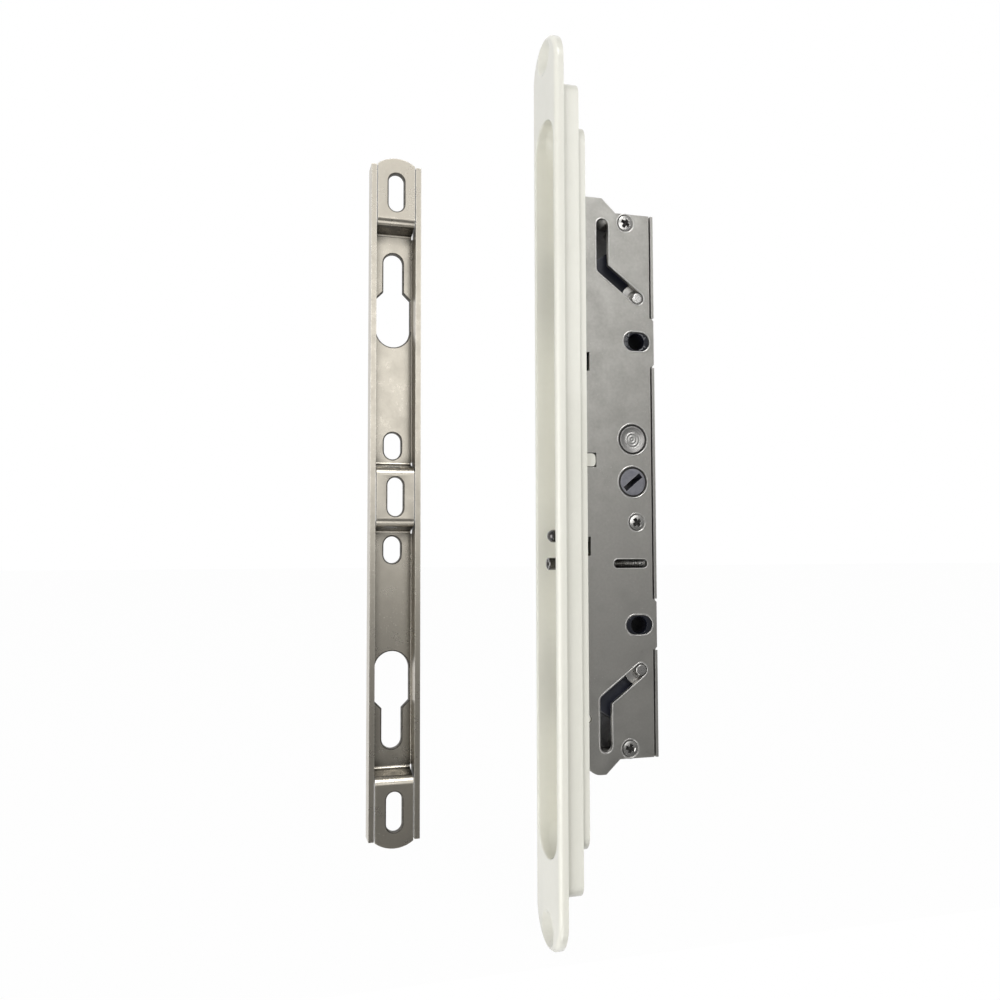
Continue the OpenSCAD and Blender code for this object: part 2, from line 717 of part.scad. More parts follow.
// One bolt slide: a square shank, a riser past the carrier and a round boss for the pin.
shank_x = wall_x + 1.6;                         // front of the shank at rest
slide_rear_x = carrier_rear_x - 0.4;
module bolt_slide(s) {
    riser_x = pin_x - boss_d / 2;
    color([0.74, 0.73, 0.7]) mirror([0, 0, s == upper ? 0 : 1]) difference() {
        union() {
            block([shank_x, -shank / 2, stud_z - shank / 2],
                  [slide_rear_x, shank / 2, stud_z + shank / 2]);
            block([riser_x, lever_y, stud_z - shank / 2 + 0.8],
                  [slide_rear_x, 0, stud_z + shank / 2]);
            block([riser_x + 1, lever_y, stud_z], [slide_rear_x, lever_y + lever_t, pin_z]);
            intersection() {
                translate([pin_x, 0, pin_z]) bar_y(lever_y, lever_y + lever_t, boss_d);
                block([riser_x - cut, lever_y, pin_z - boss_d],
                      [inner_rear_x - 0.8, lever_y + lever_t, pin_z + boss_d]);
            }
        }
        translate([pin_x, 0, pin_z]) {
            bar_y(lever_y - cut, lever_y + lever_t + cut, pin_d + 2 * fit_gap);
            bar_y(lever_y - cut, lever_y + 0.8, pin_d + 2.3);
        }
        translate([0, 0, stud_z]) bar_x(shank_x - cut, shank_x + 6, 3.6);
    }
}
module upper_bolt_slide() bolt_slide(upper);
module lower_bolt_slide() bolt_slide(lower);

// One mushroom stud, turned from bar and set into its slide.
stud_x = case_x - 2;                            // front of the stud's head at rest
module stud(s) {
    neck_x = stud_x + stud_head_t;
    color([0.82, 0.81, 0.78]) translate([0, 0, s * stud_z]) {
        bar_x(stud_x, stud_x + 0.8, stud_head_d - 2.4, stud_head_d);
        bar_x(stud_x + 0.8, neck_x, stud_head_d);
        bar_x(neck_x, shank_x, shank - 0.2);
        bar_x(shank_x, shank_x + 5.6, 3.5);
    }
}
module upper_stud() stud(upper);
module lower_stud() stud(lower);

// One guide pin, through the boss, the carrier and both sides of the case.
module guide_pin(s) {
    color([0.86, 0.85, 0.82]) translate([pin_x, 0, s * pin_z]) {
        bar_y(cover_y - 0.1, cover_y + 0.2, pin_d - 0.5, pin_d);
        bar_y(cover_y + 0.2, tray_y - 0.1, pin_d);
    }
}
module upper_guide_pin() guide_pin(upper);
module lower_guide_pin() guide_pin(lower);

// Trigger: a domed nose, a collar behind the case's front wall and a stem.
trigger_x = front_x + 0.6;
collar_x = wall_x + slack;
collar_t = 1.2;
collar_d = trigger_d + 1.9;
guide_x = collar_x + collar_t + trigger_travel + 2.2;
guide_len = 4;
module trigger_plunger() {
    dome = trigger_d / 2;
    color([0.84, 0.83, 0.8]) translate([0, 0, trigger_z]) {
        intersection() {
            translate([trigger_x + dome, 0, 0]) rotate([0, 90, 0]) sphere(d = trigger_d);
            block([trigger_x, -dome, -dome], [trigger_x + dome, dome, dome]);
        }
        bar_x(trigger_x + dome, collar_x, trigger_d);
        bar_x(collar_x, collar_x + collar_t, collar_d);
        bar_x(collar_x + collar_t, guide_x + guide_len, stem_d);
    }
}

// Block on the tray that carries the trigger's stem and its spring.
module trigger_guide() {
    half = stem_d / 2 + 2;
    color([0.13, 0.13, 0.14]) translate([0, 0, trigger_z]) difference() {
        block([guide_x, -half, -half], [guide_x + guide_len, tray_in_y, half]);
        bar_x(guide_x - cut, guide_x + guide_len + cut, stem_d + 2 * fit_gap);
    }
}

// Trigger spring: round wire wound round the stem, between the collar and the guide.
spring_sides = 6;
spring_steps = 8;
spring_r = stem_d / 2 + slack + spring_wire / 2;
module trigger_spring() {
    x0 = collar_x + collar_t + spring_wire / 2;
    span = guide_x - x0 - spring_wire / 2;
    rings = spring_turns * spring_steps;
    slope = atan(span / (spring_turns * 2 * PI * spring_r));
    function ring(i) = let(a = 360 * i / spring_steps) [for (k = [0 : spring_sides - 1])
        let(b = 360 * k / spring_sides, out = spring_wire / 2 * cos(b),
            up = spring_wire / 2 * sin(b))
        [x0 + span * i / rings + up * cos(slope),
         (spring_r + out) * cos(a) + up * sin(slope) * sin(a),
         (spring_r + out) * sin(a) - up * sin(slope) * cos(a)]];
    points = [for (i = [0 : rings]) each ring(i)];
    sides = [for (i = [0 : rings - 1], k = [0 : spring_sides - 1])
        let(a = i * spring_sides, n = (k + 1) % spring_sides)
        each [[a + k, a + spring_sides + k, a + n], [a + n, a + spring_sides + k,
            a + spring_sides + n]]];
    start = [for (k = [1 : spring_sides - 2]) [0, k, k + 1]];
    last = rings * spring_sides;
    end = [for (k = [1 : spring_sides - 2]) [last, last + k + 1, last + k]];
    color([0.7, 0.7, 0.7]) translate([0, 0, trigger_z])
        polyhedron(points, concat(sides, start, end));
}

// Reach adjuster: a long cross-head screw, held by a clip behind the case's front wall.
adjuster_x = front_x + 0.7;
clip_x = wall_x + 0.2;
clip_t = 0.8;
groove_d = adjuster_head_d - 1.2;
module adjuster_screw() {
    color([0.8, 0.79, 0.76]) translate([0, 0, adjuster_z]) difference() {
        union() {
            bar_x(adjuster_x, adjuster_x + 0.4, adjuster_head_d - 0.8, adjuster_head_d);
            bar_x(adjuster_x + 0.4, clip_x + clip_t + 1.4, adjuster_head_d);
            bar_x(clip_x + clip_t + 1.4, inner_rear_x - slack, adjuster_d);
        }
        difference() {
            bar_x(clip_x - 0.1, clip_x + clip_t + 0.1, adjuster_head_d + 1);
            bar_x(clip_x - cut, clip_x + clip_t + cut, groove_d);
        }
        for (a = [0, 90]) rotate([a, 0, 0])
            block([adjuster_x - cut, -1.4, -0.35], [adjuster_x + 1.2, 1.4, 0.35]);
    }
}

// Open ring in the screw's groove.
module adjuster_clip() {
    color([0.3, 0.3, 0.32]) translate([0, 0, adjuster_z]) difference() {
        bar_x(clip_x, clip_x + clip_t, adjuster_head_d + 2.4);
        bar_x(clip_x - cut, clip_x + clip_t + cut, groove_d + 2 * fit_gap);
        block([clip_x - cut, -1.2, 0], [clip_x + clip_t + cut, 1.2, adjuster_head_d]);
    }
}

// Nut of the adjuster, kept from turning by the cover.
nut_x = clip_x + clip_t + 1.4 + nut_travel + slack;
module adjuster_nut() {
    half = 3.6;
    color([0.78, 0.72, 0.5]) translate([0, 0, adjuster_z]) difference() {
        block([nut_x, lever_y, -half], [nut_x + 4, bar_back_y - strap_t - slack, half]);
        bar_x(nut_x - cut, nut_x + 4 + cut, adjuster_d + 2 * fit_gap);
    }
}

// The keeper is one stamping, drawn about its own middle with its open side towards -Y.
keeper_in_w = keeper_w - 2 * keeper_t;
keyhole_start = stud_z - keyhole_drop;          // where a keyhole's wide run begins
keyhole_neck = keyhole_start + keyhole_wide_len;
keyhole_end = keyhole_start + keyhole_len;
keeper_floor_y = keeper_depth - keeper_t;
bend_in = 1.2;                                  // inner radius of the strip's bends
bend_mid = bend_in + keeper_t / 2;
bend_angle = 76;
rise = keeper_floor_y;                          // from the floor's level to the tabs' level
incline = (rise - 2 * bend_mid * (1 - cos(bend_angle))) / sin(bend_angle);
joggle_len = 2 * bend_mid * sin(bend_angle) + incline * cos(bend_angle);
tab_flat = 9.4;                                 // from a tab's bend to its slot's middle
tab_start = keeper_slot_spacing - tab_flat;     // where an end tab's flat begins
bridge_half = keeper_slot_len / 2 + 0.9;        // half the bridge's flat

strip_w = keeper_in_w - 0.7;                    // between the walls, with a relief beside each
floor_span = [bridge_half + joggle_len, tab_start - joggle_len];
tab_round = 11.4;                               // radius of a tab's end

// Section of a bend in the Y-Z plane: it starts at +Y and turns towards +Z.
module bend_section() {
    far = 3 * (bend_in + keeper_t);
    difference() {
        circle(bend_in + keeper_t);
        circle(bend_in);
        polygon([[0, 0], [far * cos(bend_angle), far * sin(bend_angle)], [-far, far],
            [-far, -far], [far, -far], [far, 0]]);
    }
}

// Section of the strip from the floor's level to the tabs' level, as it goes up.
module joggle_section() {
    translate([rise - bend_in, 0]) {
        bend_section();
        rotate(bend_angle) translate([bend_in, 0]) square([keeper_t, incline]);
    }
    translate([bend_in + keeper_t, joggle_len]) rotate(180) bend_section();
}

// Middle strip of the upper half: bridge, joggle, floor, joggle and tab in one section.
module strip() {
    overlap = 2;
    translate([-strip_w / 2, 0, 0]) rotate([90, 0, 90]) linear_extrude(strip_w) {
        translate([0, -cut]) square([keeper_t, bridge_half + cut]);
        translate([0, floor_span[0]]) mirror([0, 1]) joggle_section();
        translate([rise, floor_span[0]]) square([keeper_t, overlap]);
        translate([rise, floor_span[1] - overlap]) square([keeper_t, overlap]);
        translate([0, floor_span[1]]) joggle_section();
        translate([0, tab_start]) square([keeper_t, keeper_tab_len / 2 - tab_round - tab_start]);
    }
    translate([0, keeper_t, 0]) rotate([90, 0, 0]) linear_extrude(keeper_t) intersection() {
        translate([-strip_w / 2, keeper_tab_len / 2 - tab_round - overlap])
            square([strip_w, tab_round + overlap]);
        union() {
            translate([0, keeper_tab_len / 2 - tab_round]) circle(tab_round);
            translate([-strip_w / 2, keeper_tab_len / 2 - tab_round - overlap])
                square([strip_w, overlap]);
        }
    }
}

// One half of the keeper's floor with its openings.
module keeper_half(s) {
    mirror([0, 0, s == upper ? 0 : 1]) difference() {
        union() {
            channel(floor_span[0], floor_span[1]);
            strip();
        }
        keyhole();
        track_z(port_w, port_z - port_len / 2, port_z + port_len / 2);
        track_z(keeper_slot_w, keeper_slot_spacing - keeper_slot_len / 2,
            keeper_slot_spacing + keeper_slot_len / 2);
        track_z(keeper_slot_w, -keeper_slot_len / 2, keeper_slot_len / 2);
    }
}

// Upright slot with round ends through the keeper, from one height to another.
module track_z(w, z0, z1) {
    track([[0, z0 + w / 2], [0, z1 - w / 2]], w, -cut, keeper_depth + cut);
}

// Keyhole of the upper half: a wide run for the stud's head and a narrow one for its neck.
module keyhole() {
    slope = (keyhole_wide - keyhole_narrow) / 2;
    y0 = keeper_t + cut;
    y1 = keeper_depth + cut;
    track([[0, keyhole_neck], [0, keyhole_end - keyhole_narrow / 2]], keyhole_narrow, y0, y1);
    translate([0, 0, keyhole_start + keyhole_wide / 2]) bar_y(y0, y1, keyhole_wide);
    translate([0, y1, 0]) rotate([90, 0, 0]) linear_extrude(y1 - y0)
        polygon([[-keyhole_wide / 2, keyhole_start + keyhole_wide / 2],
            [keyhole_wide / 2, keyhole_start + keyhole_wide / 2],
            [keyhole_wide / 2, keyhole_neck], [keyhole_narrow / 2, keyhole_neck + slope],
            [-keyhole_narrow / 2, keyhole_neck + slope], [-keyhole_wide / 2, keyhole_neck]]);
}

// Channel between two heights: the walls and the floor, with the bends that join them.
channel_out = keeper_t + 0.3;                   // outer radius of the long bends
module channel(z0, z1) {
    r_in = channel_out - keeper_t;
    translate([0, 0, z0]) linear_extrude(z1 - z0) difference() {
        union() {
            translate([-keeper_w / 2, 0]) square([keeper_w, keeper_depth - channel_out]);
            translate([-keeper_w / 2 + channel_out, 0])
                square([keeper_w - 2 * channel_out, keeper_depth]);
            for (s = [1, -1]) translate([s * (keeper_w / 2 - channel_out),
                keeper_depth - channel_out]) circle(channel_out);
        }
        translate([-keeper_in_w / 2, -cut])
            square([keeper_in_w, keeper_floor_y + cut - r_in]);
        translate([-keeper_in_w / 2 + r_in, -cut])
            square([keeper_in_w - 2 * r_in, keeper_floor_y + cut]);
        for (s = [1, -1]) translate([s * (keeper_in_w / 2 - r_in), keeper_floor_y - r_in])
            circle(r_in);
    }
}

// Keeper: side walls over its whole length, and a floor that rises to three screw seats.
module keeper() {
    color([0.72, 0.7, 0.65]) translate([-keeper_x, keeper_y, keeper_z]) {
        for (s = [upper, lower]) keeper_half(s);
        for (x = [-keeper_w / 2, keeper_in_w / 2])
            block([x, 0, -keeper_len / 2],
                  [x + keeper_t, keeper_depth - channel_out, keeper_len / 2]);
    }
}

faceplate_casting();
case_tray();
case_cover();
case_posts();
case_screws();
faceplate_fixing_screws();
handle_screw_bushes();
trigger_guide();
trigger_spring();
adjuster_clip();
keeper();
hub();
hub_lever();
hub_drive_pin();
rocker();
rocker_lever();
rocker_drive_pin();
upper_drive_bar();
lower_drive_bar();
upper_bolt_slide();
upper_stud();
upper_guide_pin();
lower_bolt_slide();
lower_stud();
lower_guide_pin();
trigger_plunger();
adjuster_screw();
adjuster_nut();
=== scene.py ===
"""Looks of a sliding door's two-point lock and its keeper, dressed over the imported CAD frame.

The frame's own axes hold throughout: X into the door, Y across it, Z up. Sizes are written in
millimetres, as on a drawing, and meshes are in metres.
"""

from __future__ import annotations

import json
import logging
import math
from collections.abc import Callable
from dataclasses import dataclass, field
from enum import Enum
from functools import cache

import bmesh
import bpy
import numpy as np
from mathutils import Matrix, Vector

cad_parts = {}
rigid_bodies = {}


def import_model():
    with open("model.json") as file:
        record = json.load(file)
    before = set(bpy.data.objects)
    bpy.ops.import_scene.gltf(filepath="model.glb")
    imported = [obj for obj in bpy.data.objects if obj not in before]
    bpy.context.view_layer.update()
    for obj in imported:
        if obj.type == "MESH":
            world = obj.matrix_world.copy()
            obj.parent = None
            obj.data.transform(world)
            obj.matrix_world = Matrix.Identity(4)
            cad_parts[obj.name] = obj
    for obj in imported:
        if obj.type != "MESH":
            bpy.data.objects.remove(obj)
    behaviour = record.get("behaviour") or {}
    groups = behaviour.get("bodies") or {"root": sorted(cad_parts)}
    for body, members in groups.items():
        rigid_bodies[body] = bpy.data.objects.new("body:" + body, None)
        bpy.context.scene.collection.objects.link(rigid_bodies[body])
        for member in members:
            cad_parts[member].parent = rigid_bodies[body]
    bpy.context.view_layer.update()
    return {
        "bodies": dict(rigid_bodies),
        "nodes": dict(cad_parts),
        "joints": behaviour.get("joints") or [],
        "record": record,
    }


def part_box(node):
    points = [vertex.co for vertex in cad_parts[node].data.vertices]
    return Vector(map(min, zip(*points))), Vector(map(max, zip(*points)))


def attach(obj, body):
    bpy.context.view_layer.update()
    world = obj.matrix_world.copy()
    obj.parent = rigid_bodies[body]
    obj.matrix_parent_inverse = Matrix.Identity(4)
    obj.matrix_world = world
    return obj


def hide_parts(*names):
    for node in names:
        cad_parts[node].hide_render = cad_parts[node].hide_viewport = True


LOG = logging.getLogger("lock_looks")
MM = 0.001                              # metres in a millimetre
MERGE_DISTANCE = 2e-6                   # metres; points nearer than this are one
FLAT_ANGLE = math.radians(0.6)          # faces that meet at less than this are one
SHARP_ANGLE = math.radians(28.0)        # edges sharper than this are rounded off
RIM_ANGLE = 0.9                         # radians; edges sharper than this may be a rim
SMOOTH_ANGLE = math.radians(50.0)       # rounded copies are shaded smooth up to this
ROUNDNESS = 0.6                         # profile of a rounding; 0.5 is a circle's
FACING = 0.97                           # a normal's share along an axis that it all but points along
ON_FACE = 0.02                          # millimetres; a place this near a face's plane is on it
ON_CIRCLE = 0.06                        # millimetres; the same for a circle, which has facets

Point = tuple[float, float, float]
Colour = tuple[float, float, float]
Surface = tuple[np.ndarray, np.ndarray]
Number = float | np.ndarray
Chooser = Callable[[np.ndarray, np.ndarray], np.ndarray]


class Body(Enum):
    """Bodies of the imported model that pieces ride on."""

    LOCK_CASE = "lock_case"
    HUB_SET = "hub_set"
    ROCKER_SET = "rocker_set"
    UPPER_BAR = "upper_bar"
    LOWER_BAR = "lower_bar"
    UPPER_BOLT = "upper_bolt"
    LOWER_BOLT = "lower_bolt"
    TRIGGER = "trigger"
    ADJUSTER = "adjuster"


class Along(Enum):
    """Axis that a turned piece lies along, as its own direction and two sides of it."""

    X = ((1.0, 0.0, 0.0), (0.0, 1.0, 0.0), (0.0, 0.0, 1.0))
    Y = ((0.0, 1.0, 0.0), (0.0, 0.0, 1.0), (1.0, 0.0, 0.0))


# Meshes of the pieces, made from formulas or from the CAD nodes.


@cache
def box_mm(node: str) -> tuple[Vector, Vector, Vector]:
    """Measures a CAD node, once for each name.

    Args:
        node: Name of the CAD node.

    Returns:
        Its box's lowest corner, middle and highest corner, in millimetres.
    """
    low, high = (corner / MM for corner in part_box(node))
    return low, (low + high) / 2, high


def grid_quads(rows: int, cols: int) -> np.ndarray:
    """Corner numbers of the quads of a grid whose points are stored row by row.

    Args:
        rows: Points along the first parameter.
        cols: Points along the second parameter, whose last joins the first.

    Returns:
        An array of four corner numbers for each quad.
    """
    here = np.arange(rows - 1)[:, None] * cols
    beyond = here + cols
    j = np.arange(cols)[None, :]
    k = (j + 1) % cols
    return np.stack([here + j, here + k, beyond + k, beyond + j], -1).reshape(-1, 4)


def new_piece(name: str, points: np.ndarray, quads: np.ndarray) -> bpy.types.Object:
    """Makes an object at the origin from arrays of points and quads, closed and facing outwards.

    Args:
        name: Name of the piece.
        points: Places of the vertices, in metres.
        quads: Corner numbers of the faces.

    Returns:
        The new object, smooth shaded up to the sharp angle.
    """
    mesh = bpy.data.meshes.new(name)
    mesh.from_pydata(points.reshape(-1, 3), [], quads)
    work = bmesh.new()
    work.from_mesh(mesh)
    bmesh.ops.remove_doubles(work, verts=work.verts, dist=MERGE_DISTANCE)
    bmesh.ops.dissolve_degenerate(work, edges=work.edges, dist=MERGE_DISTANCE / 20)
    bmesh.ops.recalc_face_normals(work, faces=work.faces)
    work.to_mesh(mesh)
    work.free()
    shade(mesh, SHARP_ANGLE)
    piece = bpy.data.objects.new(name, mesh)
    bpy.context.scene.collection.objects.link(piece)
    return piece


def shade(mesh: bpy.types.Mesh, angle: float) -> None:
    """Shades a mesh smooth.

    Args:
        mesh: The mesh.
        angle: Edges between faces that meet at more than this stay sharp.
    """
    mesh.polygons.foreach_set("use_smooth", np.ones(len(mesh.polygons), bool))
    mesh.set_sharp_from_angle(angle=angle)
    mesh.update()


def revolved(profile: np.ndarray, centre: Point, along: Along, steps: int = 64) -> Surface:
    """Surface of revolution on a grid.

    A point is centre + s * axis + r * (cos(a) * side + sin(a) * up), for each (s, r) of the
    profile and each angle a round the axis.

    Args:
        profile: Rows of (place along the axis, radius), in millimetres.
        centre: Origin of the profile, in millimetres.
        along: Axis of the piece.
        steps: Points round the axis.

    Returns:
        Points in metres and the quads between them.
    """
    axis, side, up = (np.array(v) for v in along.value)
    a = np.linspace(0.0, 2.0 * np.pi, steps, endpoint=False)[:, None]
    ring = np.cos(a) * side + np.sin(a) * up
    points = profile[:, None, 0:1] * axis + profile[:, None, 1:2] * ring + np.array(centre)
    return points * MM, grid_quads(len(profile), steps)


def merged(*parts: Surface) -> Surface:
    """Joins several surfaces into one.

    Args:
        parts: Points and quads of each surface.

    Returns:
        The points of all and the quads between them.
    """
    points = []
    quads = []
    first = 0
    for part_points, part_quads in parts:
        flat = part_points.reshape(-1, 3)
        points.append(flat)
        quads.append(part_quads + first)
        first += len(flat)
    return np.concatenate(points), np.concatenate(quads)


def bend_arc(centre: np.ndarray, radius: float, heading: float, turn: float, steps: int) -> np.ndarray:
    """Places on the right of a heading that turns to the left.

    At the heading h the place is centre + radius * (cos(h - 90 deg), sin(h - 90 deg)).

    Args:
        centre: Middle of the arc, as (x, z) in millimetres.
        radius: Radius of the arc.
        heading: First heading, in radians.
        turn: How far it turns.
        steps: How many places.

    Returns:
        The places as rows of (x, z).
    """
    a = np.linspace(heading, heading + turn, steps) - np.pi / 2
    return centre + radius * np.stack([np.cos(a), np.sin(a)], -1)


def track_outline(track: list[tuple[float, float]], radius: float, steps: int = 24) -> np.ndarray:
    """Outline of a slot with round ends that follows a line of places in the X-Z plane.

    Each side is the line moved out by the radius: an arc of it round every place on the outer
    side, and one shared corner at (radius / cos(half the bend)) on the inner side.

    Args:
        track: Places of the slot's middle line, in millimetres; a round hole has one.
        radius: Half the slot's width.
        steps: Points on each round end.

    Returns:
        The closed outline as rows of (x, z).
    """
    places = np.array(track, float)
    if len(places) == 1:
        return bend_arc(places[0], radius, np.pi / 2, 2 * np.pi, 3 * steps + 1)[:-1]
    points = []
    for line in (places, places[::-1]):
        headings = np.arctan2(*np.diff(line, axis=0).T[::-1])
        points.append(bend_arc(line[0], radius, headings[0] - np.pi, np.pi, steps))
        for place, before, after in zip(line[1:], headings, headings[1:]):
            turn = (after - before + np.pi) % (2 * np.pi) - np.pi
            if turn > 0:
                points.append(bend_arc(place, radius, before, turn, steps // 3))
            else:
                points.append(bend_arc(place, radius / math.cos(turn / 2), before + turn / 2, 0.0, 1))
    return np.concatenate(points)


def signed_area(outline: np.ndarray) -> float:
    """Area of a closed outline of (x, z), positive where it runs from X towards Z."""
    nxt = np.roll(outline, -1, 0)
    return float(np.sum(outline[:, 0] * nxt[:, 1] - nxt[:, 0] * outline[:, 1])) / 2


def softened_copy(frame: dict, node: str, width: float, steps: int = 2,
                  rim: Callable[[Vector], float] | None = None, rim_steps: int = 1) -> bpy.types.Object:
    """Copies a CAD node as a clean mesh whose sharp edges are rounded off.

    Args:
        node: Name of the CAD node.
        width: Width of the rounding, in millimetres.
        steps: Faces across the rounding.
        rim: Gives an edge's own width by the edge's middle in millimetres, or 0 for none.
        rim_steps: Faces across such an edge; 1 makes a chamfer.

    Returns:
        The new object, which replaces the node.
    """
    mesh = frame["nodes"][node].data.copy()
    mesh.name = f"{node}_dressed"
    work = bmesh.new()
    work.from_mesh(mesh)
    bmesh.ops.remove_doubles(work, verts=work.verts, dist=MERGE_DISTANCE)
    bmesh.ops.dissolve_limit(work, angle_limit=FLAT_ANGLE, verts=work.verts, edges=work.edges)
    if rim:
        round_edges(work, RIM_ANGLE, rim, rim_steps, held_back=False)
    round_edges(work, SHARP_ANGLE, lambda at: width, steps, held_back=True)
    bmesh.ops.triangulate(work, faces=[f for f in work.faces if len(f.verts) > 4])
    work.to_mesh(mesh)
    work.free()
    shade(mesh, SMOOTH_ANGLE)
    piece = bpy.data.objects.new(mesh.name, mesh)
    bpy.context.scene.collection.objects.link(piece)
    piece.modifiers.new("face_weights", "WEIGHTED_NORMAL").keep_sharp = True
    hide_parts(node)
    return piece


def round_edges(work: bmesh.types.BMesh, least: float, width_at: Callable[[Vector], float], steps: int,
                held_back: bool) -> None:
    """Rounds off a mesh's edges, all those of one width together.

    Args:
        work: The mesh.
        least: Angle in radians that the faces at an edge meet at, at the least.
        width_at: Gives the width by the edge's middle, both in millimetres, or 0 for none.
        steps: Faces across the rounding.
        held_back: Whether a tight place anywhere makes the whole rounding narrower.
    """
    groups: dict[float, list[bmesh.types.BMEdge]] = {}
    for edge in work.edges:
        if len(edge.link_faces) != 2 or edge.calc_face_angle() < least:
            continue
        wanted = width_at((edge.verts[0].co + edge.verts[1].co) / (2 * MM))
        if wanted > 0:
            groups.setdefault(wanted, []).append(edge)
    for wanted, edges in groups.items():
        alive = [edge for edge in edges if edge.is_valid]
        bmesh.ops.bevel(work, geom=alive, offset=wanted * MM, offset_type="OFFSET", segments=steps,
                        profile=ROUNDNESS, affect="EDGES", clamp_overlap=held_back)


def cross_depth(u: np.ndarray, v: np.ndarray, half: float, slope: float, reach: float,
                end_slope: float) -> np.ndarray:
    """Depth share of a cross recess, from 0 outside it to 1 on the floors of its two pairs of wings.

    A wing's share falls to 0 over its slanting sides, across it and at its ends.

    Args:
        u: Places along the first axis of the cross, in millimetres.
        v: Places along the second.
        half: Half a wing's width at the top of its slanting sides.
        slope: Width of the slanting sides.
        reach: Half a wing's length.
        end_slope: Length over which its ends fall.

    Returns:
        The share at each place.
    """
    def wing(across: np.ndarray, along: np.ndarray) -> np.ndarray:
        """Share of one pair of wings."""
        side = np.clip((half - np.abs(across)) / slope, 0.0, 1.0)
        return np.minimum(side, np.clip((reach - np.abs(along)) / end_slope, 0.0, 1.0))

    return np.maximum(wing(u, v), wing(v, u))


# Shader groups and the finishes built from them.


class Tree:
    """Places and links nodes in one node tree."""

    def __init__(self, tree: bpy.types.NodeTree) -> None:
        """Keeps the tree and clears it."""
        self.tree = tree
        tree.nodes.clear()

    def add(self, kind: str, **values: object) -> bpy.types.Node:
        """Adds a node.

        Args:
            kind: Type of the node.
            values: Its properties by name, and its input sockets as in_NUMBER.

        Returns:
            The node.
        """
        node = self.tree.nodes.new(kind)
        for name, value in values.items():
            if name.startswith("in_"):
                node.inputs[int(name[3:])].default_value = value
            else:
                setattr(node, name, value)
        return node

    def link(self, source: bpy.types.NodeSocket, target: bpy.types.NodeSocket) -> None:
        """Links two sockets."""
        self.tree.links.new(source, target)

    def feed(self, target: bpy.types.NodeSocket, value: object) -> None:
        """Gives an input socket its number or colour, or links the socket that is given.

        Args:
            target: The input socket.
            value: A number, a colour or an output socket.
        """
        if isinstance(value, bpy.types.NodeSocket):
            self.link(value, target)
        elif isinstance(value, tuple):
            target.default_value = (*value, 1.0)
        else:
            target.default_value = value

    def math(self, operation: str, a: object, b: object = 0.0) -> bpy.types.NodeSocket:
        """Adds a Math node.

        Args:
            operation: Its operation.
            a: First number or socket.
            b: Second number or socket.

        Returns:
            The result's socket.
        """
        node = self.add("ShaderNodeMath", operation=operation)
        self.feed(node.inputs[0], a)
        self.feed(node.inputs[1], b)
        return node.outputs[0]

    def noise(self, vector: bpy.types.NodeSocket, scale: object, detail: float,
              rough: float = 0.55) -> bpy.types.NodeSocket:
        """Adds a noise texture.

        Args:
            vector: Where it is read.
            scale: Its scale, as a number or a socket.
            detail: How many finer layers it has.
            rough: How strong these are.

        Returns:
            Its value's socket.
        """
        node = self.add("ShaderNodeTexNoise")
        self.feed(node.inputs["Scale"], scale)
        node.inputs["Detail"].default_value = detail
        node.inputs["Roughness"].default_value = rough
        self.link(vector, node.inputs["Vector"])
        return node.outputs["Fac"]

    def ramp(self, value: bpy.types.NodeSocket, low: float, high: float,
             to_low: float = 0.0, to_high: float = 1.0) -> bpy.types.NodeSocket:
        """Adds a clamped Map Range node.

        Args:
            value: What it maps.
            low: Value that gives to_low.
            high: Value that gives to_high.
            to_low: Result at low and beyond.
            to_high: Result at high and beyond.

        Returns:
            The result's socket.
        """
        node = self.add("ShaderNodeMapRange")
        ends = {"From Min": low, "From Max": high, "To Min": to_low, "To Max": to_high}
        for name, number in ends.items():
            node.inputs[name].default_value = number
        self.link(value, node.inputs["Value"])
        return node.outputs["Result"]

    def mix(self, factor: object, a: object, b: object) -> bpy.types.NodeSocket:
        """Adds a colour Mix node.

        Args:
            factor: Share of the second colour, as a number or a socket.
            a: First colour or socket.
            b: Second colour or socket.

        Returns:
            The result's socket.
        """
        node = self.add("ShaderNodeMix", data_type="RGBA")
        for number, value in ((0, factor), (6, a), (7, b)):
            self.feed(node.inputs[number], value)
        return node.outputs[2]


